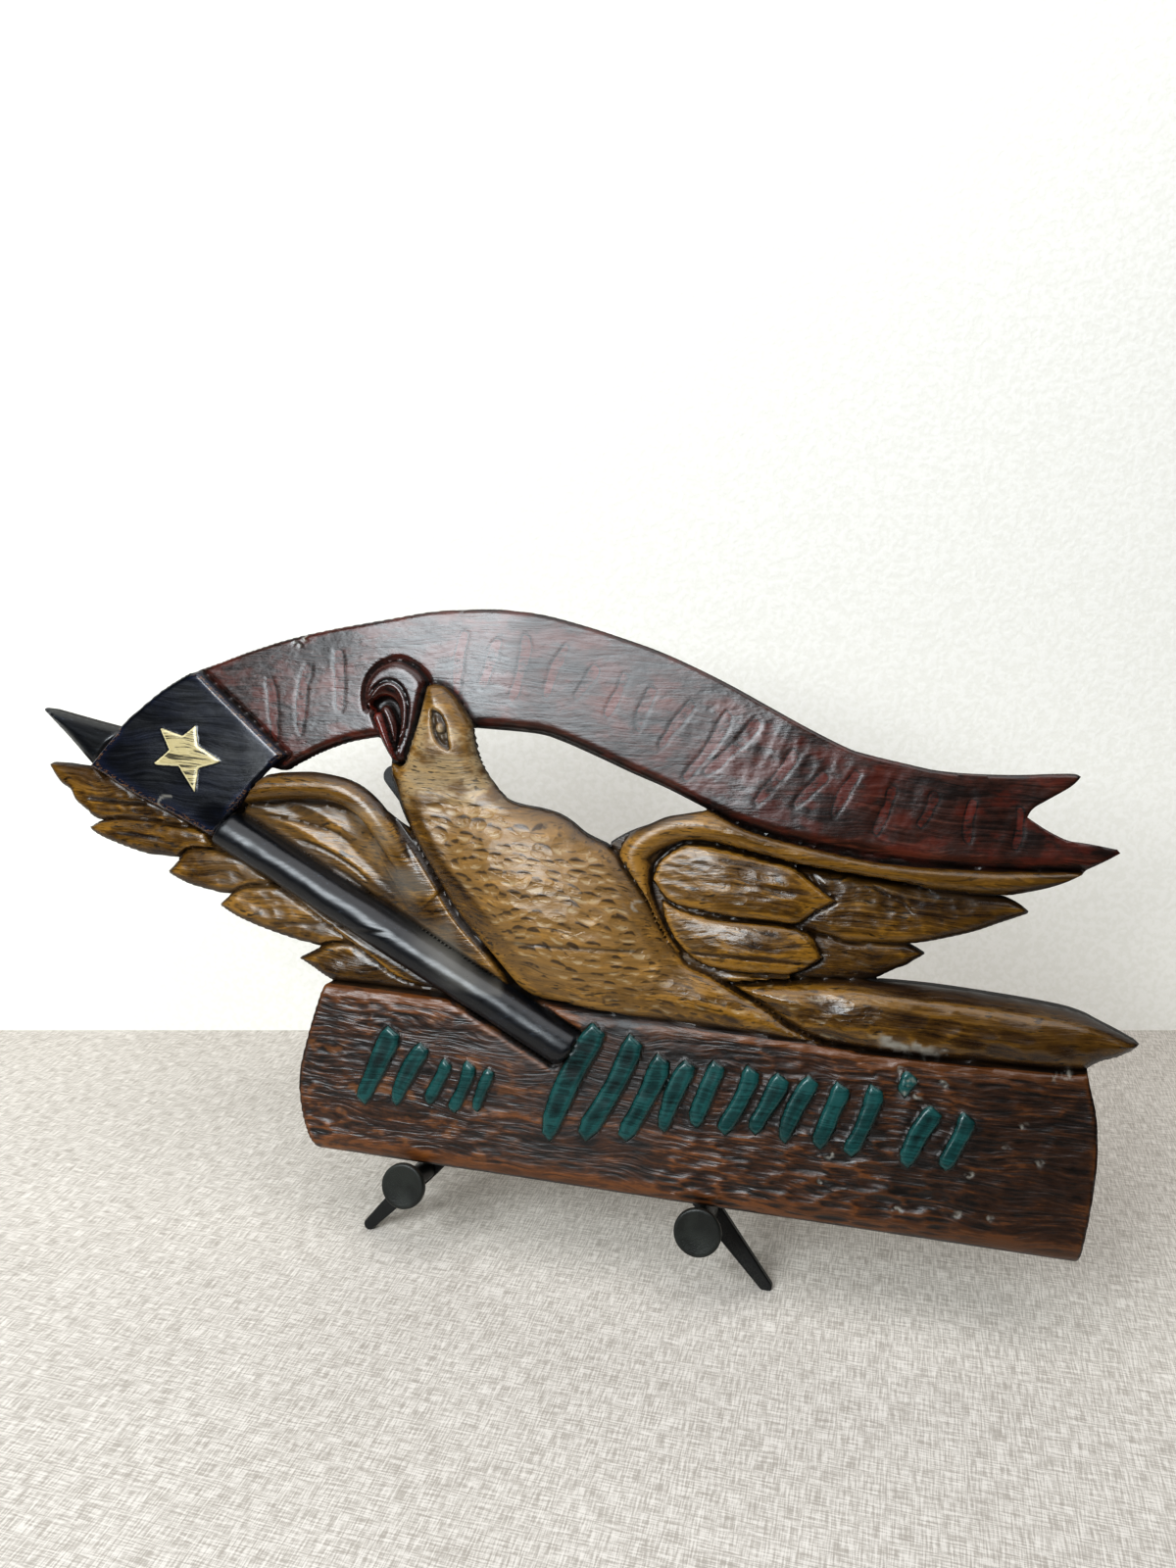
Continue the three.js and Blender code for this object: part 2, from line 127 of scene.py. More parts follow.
def ease(low, high, x):  # 0 below low, 1 above high, 3x^2 - 2x^3 between them
    x = np.clip((x - low) / (high - low), 0, 1)
    return x * x * (3 - 2 * x)


def crown(depth, top, rise, width):  # flat at the top, with its edge rounded over by a quarter ellipse
    return top - rise + rise * np.sqrt(1 - (1 - np.clip(depth / width, 0, 1)) ** 2)


def softMax(a, b, blend):  # the higher of two, with a fillet where they are within `blend` of each other
    gap = np.clip(blend - np.abs(a - b), 0, None)
    return np.maximum(a, b) + gap * gap / (4 * blend)


def chance(i, j, seed):  # from 0 to 1 for each pair of whole numbers: the fraction of a large sine
    return np.mod(np.sin(i * 12.9898 + j * 78.233 + seed * 37.719) * 43758.5453, 1)


def drift(s, t, size, seed):
    # value noise from -1 to 1: chances at the corners of a lattice, eased between them
    u, v = s / size, t / size
    i, j = np.floor(u), np.floor(v)
    fu, fv = ease(0, 1, u - i), ease(0, 1, v - j)
    low = chance(i, j, seed) * (1 - fu) + chance(i + 1, j, seed) * fu
    high = chance(i, j + 1, seed) * (1 - fu) + chance(i + 1, j + 1, seed) * fu
    return 2 * (low * (1 - fv) + high * fv) - 1


dent = {"least": 0.45, "spread": 0.75, "slide": 0.3, "stray": 0.5, "halfLong": 0.62, "halfWide": 0.68}


def gouges(s, t, marks, seed, sparse=0.0, wander=0.35):
    # dents laid like bricks along an angle, each 1 - (u/a)^2 - (v/b)^2 deep; the deepest counts
    length, width, angle = marks
    sS = s + wander * width * drift(s, t, 2.2 * length, seed + 5)
    tT = t + wander * width * drift(s, t, 1.6 * length, seed + 6)
    u = (sS * math.cos(angle) + tT * math.sin(angle)) / length
    v = (tT * math.cos(angle) - sS * math.sin(angle)) / width
    deepest = np.zeros(s.shape)
    for rowStep in (-1, 0, 1):
        row = np.floor(v) + rowStep
        slid = u + chance(row, 0, seed) + 0.5 * row
        for columnStep in (-1, 0, 1):
            column = np.floor(slid) + columnStep
            size = dent["least"] + dent["spread"] * chance(row, column, seed + 1)
            size = size * (chance(row, column, seed + 2) >= sparse)
            du = slid - column - 0.5 - dent["slide"] * (chance(row, column, seed + 3) - 0.5)
            dv = v - row - 0.5 - dent["stray"] * (chance(row, column, seed + 4) - 0.5)
            cut = size - (du / dent["halfLong"]) ** 2 - (dv / dent["halfWide"]) ** 2
            deepest = np.maximum(deepest, np.clip(cut, 0, 1))
    return deepest


# The carving is worked out as heights above the flat back, on a grid of points across the face.
carving = {
    "pitch": 1.18,    # between points
    "extent": (-321.0, 320.5, -1.5, 312.5),
    "margin": 16.0,   # how far past a form's outline its distances are worked out
    "soften": 0.55,   # half the width of the step where one form lies over another
}
paints = ["log", "eagle", "banner", "beak", "red", "pole", "canton", "star", "teal"]

sLow, sHigh, tLow, tHigh = carving["extent"]
gridS, gridT = np.meshgrid(
    np.arange(sLow, sHigh, carving["pitch"]), np.arange(tLow, tHigh, carving["pitch"])
)
far = -carving["margin"]
height = np.zeros(gridS.shape)
inside = np.full(gridS.shape, far)
paint = {name: np.full(gridS.shape, far) for name in paints}
cuts = np.full(gridS.shape, far)       # how far inside an incised line a point is
shadeAndDarkLines = np.zeros(gridS.shape)          # how dark a point is: painted shade along cut grooves and beside the body, and the dark lines of the board joints, a scratch and the eye
pale = np.zeros(gridS.shape)           # how pale a point is: worn scratches, chips and dust, and a painted sheen on the left wing beside the body
pitted = np.zeros(gridS.shape)         # where the breast is covered with gouge marks

# The outlines were read on a plane 12 mm in front of the back, from the photograph's viewpoint.
eye = {"s": 198.7, "t": 210.7, "h": 630.3, "plane": 12.0}
seen = {  # heights at which the forms' edges are seen
    "backing": 12, "log": 21, "leftFeathers": 12, "wing": 18, "wingEdge": 20, "rightFeathers": 14,
    "leaf": 20, "tail": 16, "body": 20, "banner": 18.5, "beak": 22, "eye": 29, "pole": 19, "finial": 13,
    "canton": 22.5, "star": 24.8, "teal": 25,
}


def readAt(form, at):
    # where the outline of a form is read for the grid's points: on the outlines' plane, in line with the
    # eye, so at the ratio of the two distances from the eye's foot
    share = (eye["h"] - eye["plane"]) / (eye["h"] - seen[form])
    return eye["s"] + (gridS[at] - eye["s"]) * share, eye["t"] + (gridT[at] - eye["t"]) * share


def window(points, margin=None):  # the part of the grid around some points
    margin = carving["margin"] + 10 if margin is None else margin + 10
    columns = (gridS[0] > points[:, 0].min() - margin) & (gridS[0] < points[:, 0].max() + margin)
    rows = (gridT[:, 0] > points[:, 1].min() - margin) & (gridT[:, 0] < points[:, 1].max() + margin)
    return np.ix_(rows, columns)


def coat(at, name, depth):  # one paint covers a form, and the others end at its outline
    for other, held in paint.items():
        held[at] = np.maximum(held[at], depth) if other == name else np.minimum(held[at], -depth)


def layForm(form, points, paintName, surface, groove=0.0, grooveWidth=1.3):
    # a form lies over what is there: its own height inside its outline, eased in across the outline,
    # with a groove cut along the outline wherever there is wood on both sides of it
    at = window(points)
    s, t = readAt(form, at)
    depth = np.maximum(depthInside(points, s, t), far)
    before, there = height[at], inside[at]
    own = surface(s, t, depth)
    share = ease(-carving["soften"], carving["soften"], depth)
    blended = before * (1 - share) + own * share
    result = np.where(there > 0, blended, np.where(depth > there, own, before))
    wood = ease(-0.5, 2.5, there)
    height[at] = result - groove * np.exp(-((depth / grooveWidth) ** 2)) * wood
    coat(at, paintName, depth)
    inside[at] = np.maximum(there, depth)
    return at, depth


def cutLine(form, points, deep, width, fadeIn, fadeOut, dark):
    # a V-shaped cut along a smooth line, fading over a share of the line at each end
    line = smoothRun(points)
    at = window(line, 3 * width)
    off, along = besideLine(line, *readAt(form, at))
    fade = ease(0, fadeIn + 1e-6, along) * ease(0, fadeOut + 1e-6, 1 - along)
    near = np.clip(1 - np.abs(off) / width, 0, 1) * fade
    height[at] -= deep * near * (inside[at] > 0)
    # the cut is darkened: painted shade along the groove, and on the board joints their dark line
    shadeAndDarkLines[at] = np.maximum(shadeAndDarkLines[at], dark * near)


def carveIn(at, share, marks, seed, deep, sparse=0.0):
    # gouge marks of some length, width and angle over part of a form, stronger in some places than others
    s, t = gridS[at], gridT[at]
    strength = 0.3 + 0.7 * ease(-0.45, 0.45, drift(s, t, 2.1 * marks[0], seed + 9))
    height[at] -= deep * share * strength * gouges(s, t, marks, seed, sparse)


levels = {  # heights of the forms above the flat back
    "log": 23.0, "banner": 20.0, "canton": 24.0, "finial": 17.0, "feather": 14.0, "longFeather": 17.0,
    "wingPanel": 18.0, "leaf": 24.0, "tail": 25.0, "body": 26.0, "breast": 36.0, "beak": 25.0,
}

# Wood low between the forms, wherever a slit between two of them would go through to the back
backing = {
    "height": 11.0,
    "boxes": [  # left, bottom, right, top
        (140, 173, 208, 183), (-154, 143, -143, 153), (-213, 171, -191, 185), (-17, 97, 12, 127),
        (-76, 217, -66, 224.5), (-196, 160, -175, 179),
    ],
}


def layBacking():
    for left, bottom, right, top in backing["boxes"]:
        box = np.array([(left, bottom), (right, bottom), (right, top), (left, top)], float)
        layForm("backing", box, "eagle", lambda s, t, depth: backing["height"] + 0 * s)


# The log, with long shallow gouge marks along it
log = {
    "width": 97.0, "below": 2.6, "round": 10.0, "endRound": 1.6,
    "ripple": (17.0, 3.7, 0.0), "rippleDeep": 1.15,
    "fineRipple": (8.0, 2.8, 0.03), "fineDeep": 0.22,
}


def carveLog():
    ends = outline(
        [(-109, -2.6), (-112.5, -1.4), (-121.3, 17.5), (-124.6, 40), (-120.6, 65), (-113.1, 92.5),
         (-109, 98)],
        [(-60, 101), (294, 98)], [(295.6, 87.5), (300, 70), (301.4, 48), (299.5, 22), (295.8, -2.6)],
    )

    def surface(s, t, depth):
        fromEdge = np.minimum(t + log["below"], log["width"] - t)
        short = np.clip(log["round"] - fromEdge, 0, log["round"])
        rolled = np.sqrt(log["round"] ** 2 - short**2) - log["round"]
        swell = 0.35 * drift(s, t, 46, 3) + 0.3 * drift(s, 4 * t, 60, 4)
        return levels["log"] + rolled + swell + crown(depth, 0, 1.3, log["endRound"])

    at, depth = layForm("log", ends, "log", surface)
    s, t = readAt("log", at)
    share = ease(0.5, 5, depth) * (0.55 + 0.45 * drift(s, t, 55, 8))
    carveIn(at, share, log["ripple"], 11, log["rippleDeep"])
    share = ease(0.5, 4, depth) * ease(-0.5, 0.4, drift(s, t, 38, 9))
    carveIn(at, share, log["fineRipple"], 12, log["fineDeep"], 0.35)


# The left wing: five feathers, the panel they spring from and the rounded leading edge
leftWing = {
    "edgeRadius": 8.2, "edgeCentre": 19.6, "featherRise": 4.2, "featherRound": 6.5,
    "barbs": (17.0, 4.6, -0.42), "barbDeep": 0.25, "dents": (9.0, 4.4, -0.3), "dentDeep": 0.45,
    "cuts": [  # where it is seen, line, depth, width, shares that fade in and out, darkness of the painted shade along the cut
        ("wing", [(-168, 193.5), (-150, 195.4), (-125, 196.6), (-110, 194.6), (-100, 190.9),
                  (-92.5, 185), (-87, 176)], 1.3, 2.4, 0.0, 0.35, 0.8),
        ("wing", [(-160, 187), (-135, 184.5), (-112, 179), (-98, 170)], 1.2, 1.8, 0.1, 0.3, 0.55),
        ("wing", [(-140, 175), (-118, 169), (-98, 159), (-84, 148)], 1.3, 1.8, 0.1, 0.3, 0.6),
        ("wing", [(-118, 162), (-100, 153), (-82, 140), (-70, 130)], 1.0, 1.6, 0.1, 0.3, 0.5),
        ("leftFeathers", [(-283, 189.5), (-270, 189), (-255, 188.3), (-238, 188.6)],
         1.5, 1.7, 0.15, 0.0, 0.8),
        ("leftFeathers", [(-262, 171), (-240, 169.5), (-218, 167.5)], 0.8, 1.5, 0.3, 0.2, 0.45),
    ],
}
leftFeathers = [
    outline(
        [(-309.8, 209.3), (-303, 210.3), (-293, 209.6), (-279, 209)], [(-262, 214), (-203, 188)],
        [(-212, 168)],
        [(-267.5, 176.3), (-280, 181.9), (-288.8, 187.5), (-293, 193.8), (-301.5, 198.6),
         (-309.8, 209.3)],
    ),
    outline(
        [(-277.3, 171.5), (-268.8, 176.3), (-255, 179.4), (-238, 180)], [(-195, 176)], [(-188, 160)],
        [(-214.4, 158.2), (-225, 158.5), (-237.5, 159), (-260, 164.4), (-270, 167.5), (-277.3, 171.5)],
    ),
    outline(
        [(-221.5, 148.8), (-215.6, 155), (-210, 163), (-200, 165.5), (-190, 165)], [(-150, 160)],
        [(-150, 142)], [(-180, 139.4), (-188.8, 140), (-207.5, 143.1), (-221.5, 148.8)],
    ),
    outline(
        [(-184.6, 132.5), (-178, 138.5), (-170, 144), (-160, 146.5), (-146, 147)], [(-100, 132)],
        [(-84, 108)], [(-120.6, 114.8), (-135, 116.9), (-155, 121.3), (-175, 127.5), (-184.6, 132.5)],
    ),
    outline(
        [(-131.3, 106), (-120, 112.3), (-112.5, 116.9), (-100, 118.6), (-88, 117)], [(-45, 108)],
        [(-30, 94)], [(-105, 94.5)], [(-111, 96.3), (-118.8, 100), (-131.3, 106)],
    ),
]


def carveLeftWing():
    for i, shape in enumerate(leftFeathers):
        def surface(s, t, depth, i=i):
            ribs = 0.27 * np.sin(0.35 * (t - 0.28 * s) + 1.7 * i)
            edge = leftWing["featherRise"], leftWing["featherRound"]
            return crown(depth, levels["feather"] + i % 2, *edge) + ribs

        at, depth = layForm("leftFeathers", shape, "eagle", surface, 1.1, 1.1)
        carveIn(at, ease(1.5, 5, depth), leftWing["dents"], 20 + i, leftWing["dentDeep"], 0.3)
    panel = outline(
        [(-182, 190)], [(-156, 208)], [(-85, 198)], [(-60, 181)], [(-5, 108), (-2, 96)],
        [(-60, 98), (-90, 112)], [(-186, 168)],
    )
    bodySide = smoothRun([
        (-75, 191), (-65, 178.8), (-50, 160), (-33.8, 138.8), (-15, 121.3), (6.3, 101.3),
    ])
    edgeLine = smoothRun([
        (-178, 199), (-156, 203.2), (-135, 205.4), (-118, 205.6), (-104, 202.2), (-92, 195), (-81, 183),
        (-71, 168), (-58, 150),
    ])

    def surface(s, t, depth):
        toBody = np.abs(besideLine(bodySide, s, t)[0])
        swell = 5.2 * (1 - ease(6, 34, toBody)) - 2.0 * (1 - ease(0, 3.5, toBody))
        waves = 0.7 * np.sin((t + 0.47 * s + 5 * drift(s, t, 60, 31)) * 2 * math.pi / 15.5)
        return levels["wingPanel"] - 1.2 + swell + waves * ease(18, 34, toBody)

    at, depth = layForm("wing", panel, "eagle", surface, 1.2, 1.3)
    s, t = readAt("wing", at)
    toBody = np.abs(besideLine(bodySide, s, t)[0])
    carveIn(at, ease(0, 2, depth) * ease(14, 32, toBody), leftWing["barbs"], 33, leftWing["barbDeep"])
    # painted shade in the groove beside the body
    shadeAndDarkLines[at] = np.maximum(shadeAndDarkLines[at], 0.85 * ease(3.4, 1.2, toBody) * (depth > 0))
    # painted sheen: the panel is paled in patches a little way off the body
    offBody = -besideLine(bodySide, s, t)[0]
    paled = ease(2.5, 8, offBody) * ease(34, 16, offBody) * ease(-0.6, 0.5, drift(s, t, 13, 35))
    pale[at] = np.maximum(pale[at], 0.3 * paled * ease(1, 4, depth))

    edge = outline(
        [(-172, 193)], [(-157, 210.5)],
        [(-148, 212.5), (-135, 213.6), (-125, 213.8), (-110, 212), (-100, 209), (-92, 204.6),
         (-84, 198), (-78, 191)],
        [(-65, 179), (-50, 160), (-45, 152)],
        [(-62, 140), (-78, 158), (-88, 176), (-95, 187), (-104, 192), (-125, 196), (-150, 195.4)],
    )

    def bead(s, t, depth):
        off, along = besideLine(edgeLine, s, t)
        radius = leftWing["edgeRadius"] * (1 - 0.35 * ease(0.62, 1, along))
        tube = leftWing["edgeCentre"] + np.sqrt(np.clip(radius**2 - off**2, 0, None))
        flat = surface(s, t, depth)
        return softMax(flat, tube * (1 - ease(0.66, 1.0, along)) + flat * ease(0.66, 1.0, along), 2.6)

    layForm("wingEdge", edge, "eagle", bead)
    for cut in leftWing["cuts"]:
        cutLine(*cut)


# The right wing: long feathers, the leading edge and three leaf-shaped coverts
rightWing = {
    "edgeRadius": 8.4, "edgeCentre": 19.5, "featherRise": 4.6, "featherRound": 7.5,
    "leafRise": 4.0, "leafRound": 12.0,
    "streaks": (17.0, 4.0, -0.12), "streakDeep": 0.65, "dents": (8.5, 4.8, -0.25), "dentDeep": 0.55,
    "cuts": [  # where it is seen, line, depth, width, shares that fade in and out, darkness of the painted shade along the cut
        ("leaf", [(84, 157.5), (105, 152.6), (120, 150.9), (151.3, 150.4), (160, 157), (170.6, 163.6)],
         0.8, 1.4, 0.3, 0.0, 0.3),
        ("leaf", [(97, 128.5), (107, 123.9), (127.5, 122.8), (150, 123.8), (160, 129.5), (165, 133.9)],
         0.8, 1.4, 0.2, 0.0, 0.3),
        ("leaf", [(88, 187.5), (100, 190), (118, 187.4), (135, 184.2), (152, 180)],
         0.8, 2.5, 0.25, 0.3, 0.3),
        ("wing", [(157, 178.5), (163, 171), (170.6, 164.4)], 1.0, 1.5, 0.1, 0.0, 0.5),
        ("wing", [(153, 148), (160, 142), (165.5, 134.6)], 1.0, 1.5, 0.1, 0.0, 0.5),
        ("wing", [(183, 176), (197.5, 168.8), (205, 165), (213, 156)], 0.8, 1.3, 0.4, 0.4, 0.35),
    ],
}


def carveRightWing():
    def feather(level):
        def surface(s, t, depth):
            edge = rightWing["featherRise"], rightWing["featherRound"]
            return crown(depth, level + 0.6 * drift(s, t, 30, 41), *edge) + (t - 150) * 0.03
        return surface

    thirdFeather = outline(
        [(120, 152)], [(205.6, 146)], [(211.3, 143.5), (215.9, 141)],
        [(210, 136.9), (206.9, 134.4), (202.5, 132.5), (192.2, 126.3)], [(160, 121), (120, 120)],
    )
    secondFeather = outline(
        [(110, 186), (140, 182), (180, 178), (205, 176), (253.5, 173)], [(260, 170), (264.4, 166.5)],
        [(250, 160), (237.5, 154.4), (217.5, 148.1), (205.6, 145.6)],
        [(190, 144.4), (177.5, 143.6), (165, 146), (120, 150)],
    )
    for shape, name, seed in ((thirdFeather, "feather", 42), (secondFeather, "longFeather", 43)):
        at, depth = layForm("rightFeathers", shape, "eagle", feather(levels[name]), 1.2, 1.2)
        carveIn(at, ease(1.5, 5, depth), rightWing["dents"], seed, rightWing["dentDeep"], 0.15)
    panel = outline(
        [(50, 183)], [(103, 204)], [(150, 190)], [(150, 120)], [(135, 102)], [(86, 124)], [(66, 160)],
    )
    layForm("wing", panel, "eagle", lambda s, t, depth: levels["wingPanel"] - 1 + 0 * s)

    edge = outline(
        [(49.5, 185.2)], [(61.3, 192.5), (71.3, 196.9), (80, 201.3), (90, 203.8), (103, 206.8)],
        [(115, 203.8), (130, 198), (150, 194), (170, 192), (190, 189.4), (210, 187.8), (250, 187.8),
         (289.5, 188.9)],
        [(280, 183.1), (270, 178.8), (253.8, 174)],
        [(220, 173.8), (205, 176.3), (160, 180.6), (140, 183.8), (120, 187.5), (102.5, 190.2),
         (90, 189.6), (82, 185.5)],
        [(74, 177), (72.5, 168), (75, 157), (84, 140), (92, 130)],
        [(88, 128), (83.8, 137.5), (77.5, 147.5), (71.3, 158.8), (60, 172.5), (49.5, 185.2)],
    )
    edgeLine = smoothRun([
        (95, 126), (84, 140), (74, 156), (66, 171), (64, 181), (72, 190), (86, 196.6), (103, 198),
        (122, 194.4), (150, 187.6), (185, 183.2), (220, 180.8), (250, 180.8), (286, 187),
    ])

    def bead(s, t, depth):
        off, along = besideLine(edgeLine, s, t)
        radius = rightWing["edgeRadius"] * (1 - 0.22 * ease(0.3, 0.9, along))
        radius = radius * (0.72 + 0.28 * ease(0, 0.22, along))
        tube = rightWing["edgeCentre"] - 3 * (1 - ease(0, 0.25, along)) - 2.5 * ease(0.75, 1, along)
        tube = tube + np.sqrt(np.clip(radius**2 - off**2, 0, None))
        return softMax(tube, levels["wingPanel"] + 1 + 0 * s, 2.5)

    layForm("wingEdge", edge, "eagle", bead, 0.5, 1.2)

    leafA = outline(
        [(74, 168), (78, 178), (86.3, 185), (93.8, 187.8), (110, 186.9), (132.5, 183.1), (147.5, 180),
         (160, 171.3), (170.6, 164.1)],
        [(160, 157.5), (151.3, 150.9), (140, 151), (120, 151.3), (105, 153.1), (85, 156.8), (74, 168)],
    )
    leafB = outline(
        [(80, 157), (92, 152), (110, 149.6), (135, 149.8), (149, 148.6), (158.8, 145), (165, 134.4)],
        [(160, 130), (150, 124.4), (140, 123.8), (127.5, 123.3), (107, 124.4), (92, 133), (83, 146),
         (80, 157)],
    )
    leafC = outline(
        [(108, 120.5), (120, 122.1), (130, 121.3), (140, 120), (144.5, 117.8)],
        [(138.8, 113.8), (132, 110), (120, 114.5), (108, 120.5)],
    )
    for shape, top, seed in ((leafC, -3, 46), (leafB, -0.5, 45), (leafA, 0, 44)):
        left = shape[:, 0].min()

        def surface(s, t, depth, top=top, seed=seed, left=left):  # low where it springs from the shoulder
            sprung = ease(0, 42, s - left)
            swell = 0.7 * drift(s, t, 26, seed) - 2.6 * (1 - sprung)
            rise = rightWing["leafRise"] * (0.25 + 0.75 * sprung)
            return crown(depth, levels["leaf"] + top + swell, rise, rightWing["leafRound"])

        at, depth = layForm("leaf", shape, "eagle", surface, 0.1, 1.1)
        carveIn(at, ease(1.5, 6, depth), rightWing["streaks"], seed, rightWing["streakDeep"], 0.1)
    for cut in rightWing["cuts"]:
        cutLine(*cut)


# The tail lies over the log's upper edge, with a bevel along its top
tail = {"round": 14.0, "rise": 12.0, "facets": (19.0, 7.5, -0.1), "facetDeep": 0.9}


def carveTail():
    shape = outline(
        [(118, 117)], [(150, 98.1), (160, 93.8), (170, 91.3)],
        [(200, 89.4), (260, 90.2), (290, 91.3), (294.4, 92.8)],
        [(300, 96.9), (310, 101.3), (318.1, 107.3)],
        [(310, 111.3), (300, 115.6), (292.5, 118.8), (280, 121.3), (250, 123.8), (215, 125.4),
         (177.5, 124.4), (144, 121)],
    )

    def surface(s, t, depth):
        bevel = 4.0 * ease(0, 7, t - (118.6 - 0.06 * np.abs(s - 190)))
        top = levels["tail"] + 0.8 * drift(s, t, 40, 52)
        return crown(depth, top, tail["rise"], tail["round"]) - bevel

    at, depth = layForm("tail", shape, "eagle", surface, 1.2, 1.3)
    carveIn(at, ease(2, 7, depth), tail["facets"], 51, tail["facetDeep"])
    cutLine("tail", [(168, 122.6), (192.5, 120), (235, 119.8), (280, 117.5)], 0.8, 1.5, 0.3, 0.3, 0.5)


# The body, breast and head in one flowing form, with rows of gouge marks over the breast
body = {
    "breastCentre": (20.0, 150.0), "breastHalf": (98.0, 54.0), "breastTilt": math.radians(-40),
    "rise": 7.5, "round": 16.0, "marks": (15.0, 7.0, -0.14), "markDeep": 0.32,
    "waves": (26.0, 9.0, -0.2), "waveDeep": 0.3, "lowMarks": (24.0, 5.5, -0.12), "lowDeep": 0.6,
}


def carveBody():
    trunk = outline(
        [(-79.5, 222.5), (-80, 216), (-77.5, 210), (-75, 203.8), (-72.5, 197.5), (-67.5, 187.5),
         (-62.5, 178), (-50, 160), (-33.8, 138.8), (-15, 121.3), (0, 106.3), (6.3, 101.3)],
        [(15, 98.4), (31.3, 97.4), (45, 95.6), (85, 93.6), (130, 92), (172, 90)],
        [(160, 94.5), (150, 98.8), (140, 105), (130, 109.4), (120, 113.8), (110, 118.8), (96.3, 123.8),
         (91.3, 128.8), (83.8, 137.5), (77.5, 147.5), (71.3, 158.8), (65, 167.5), (56.3, 177.5),
         (48.1, 184.8)],
        [(45, 186), (36.5, 190), (29, 195.4), (21, 199.5), (11, 201.8), (0, 203.2), (-8.5, 205.6),
         (-15.2, 211), (-22.6, 220), (-27.8, 230), (-32, 244), (-37, 252.5), (-42, 259.2),
         (-46.5, 263.7), (-50.5, 266.5), (-56, 267.6), (-62, 266.4)],
        [(-66.3, 242.5), (-72.5, 221.9), (-79.5, 222.5)],
    )

    def surface(s, t, depth):
        c, n = math.cos(body["breastTilt"]), math.sin(body["breastTilt"])
        offS, offT = s - body["breastCentre"][0], t - body["breastCentre"][1]
        u = (offS * c + offT * n) / body["breastHalf"][0]
        v = (offT * c - offS * n) / body["breastHalf"][1]
        egg = levels["breast"] * np.sqrt(np.clip(1 - u * u - v * v, 0, None))
        flat = crown(depth, levels["body"] + 4 * ease(205, 235, t), body["rise"], body["round"])
        return np.minimum(softMax(flat, egg, 5), crown(depth, levels["breast"] + 1, 17, 20))

    at, depth = layForm("body", trunk, "eagle", surface, 0.5, 1.2)
    s, t = readAt("body", at)
    breastArea = outline(
        [(-62, 199), (-40, 204), (-20, 202.5), (2.5, 197.5), (17.5, 194.4), (28.8, 187.5),
         (42.5, 181.3), (51.3, 173.8), (57.5, 165), (62, 155), (72, 139), (83, 124)],
        [(78, 112), (55, 107.5), (30, 108), (12.5, 110)],
        [(-5, 130), (-15, 140), (-25, 150), (-41.3, 165), (-50, 177.5), (-62, 199)],
    )
    within = ease(-1, 4, depthInside(breastArea, s, t))
    pitted[at] = np.maximum(pitted[at], within)
    height[at] -= body["markDeep"] * gouges(s, t, body["marks"], 61, 0.12, 0.45) * within
    height[at] -= body["waveDeep"] * gouges(s, t, body["waves"], 63, 0.2, 0.7) * within
    low = ease(2, 7, depth) * (1 - within) * ease(126, 112, t) * ease(8, 25, s)
    carveIn(at, low, body["lowMarks"], 62, body["lowDeep"], 0.15)


# The banner, with rows of shallow cut strokes across it
banner = {
    "round": 5.5, "rise": 4.5, "dents": (13.0, 6.2, 1.25), "dentDeep": 0.2,
    "strokeWidth": 0.75, "strokeDeep": 0.12, "strokeSunk": 0.1,
    "strokes": [  # groups: from s, to s, lengths, width
        (-158, -116, (38, 42, 36), 6.2), (-42, -8, (36, 30, 38), 6),
        (14, 82, (32, 22, 26, 24, 30), 5.4), (99, 112, (42, 40), 5.6), (136, 172, (34, 24, 27), 5.6),
        (192, 234, (27, 19, 22), 5), (256, 256, (22,), 4.6),
    ],
}
bannerTop = [
    (-207.5, 270.6), (-196, 274.6), (-175, 282.5), (-150, 290.4), (-125, 296.3), (-90, 303),
    (-60, 308.5), (-30, 310.3), (-15, 310), (5, 307.8), (30, 302), (50, 296.3), (70, 290), (90, 282),
    (110, 273), (130, 263), (150, 253), (171, 243.5), (181, 240.6), (200, 236.9), (220, 233.8),
    (250, 233.8), (277.5, 236), (284.4, 235.4),
]
bannerBottom = [
    (-147, 213.8), (-138.8, 218.8), (-125, 226), (-110, 231.9), (-97.5, 235), (-87, 236.9),
    (-60, 241.5), (-28.8, 245), (5, 243.5), (20, 240), (40, 232.5), (60, 224.4), (80, 216.9),
    (103, 207), (130, 198), (150, 194), (190, 189.4), (230, 187), (287.5, 189),
]


def heightOn(line, s):  # the t at which a line that runs left to right passes s
    return np.interp(s, line[:, 0], line[:, 1])


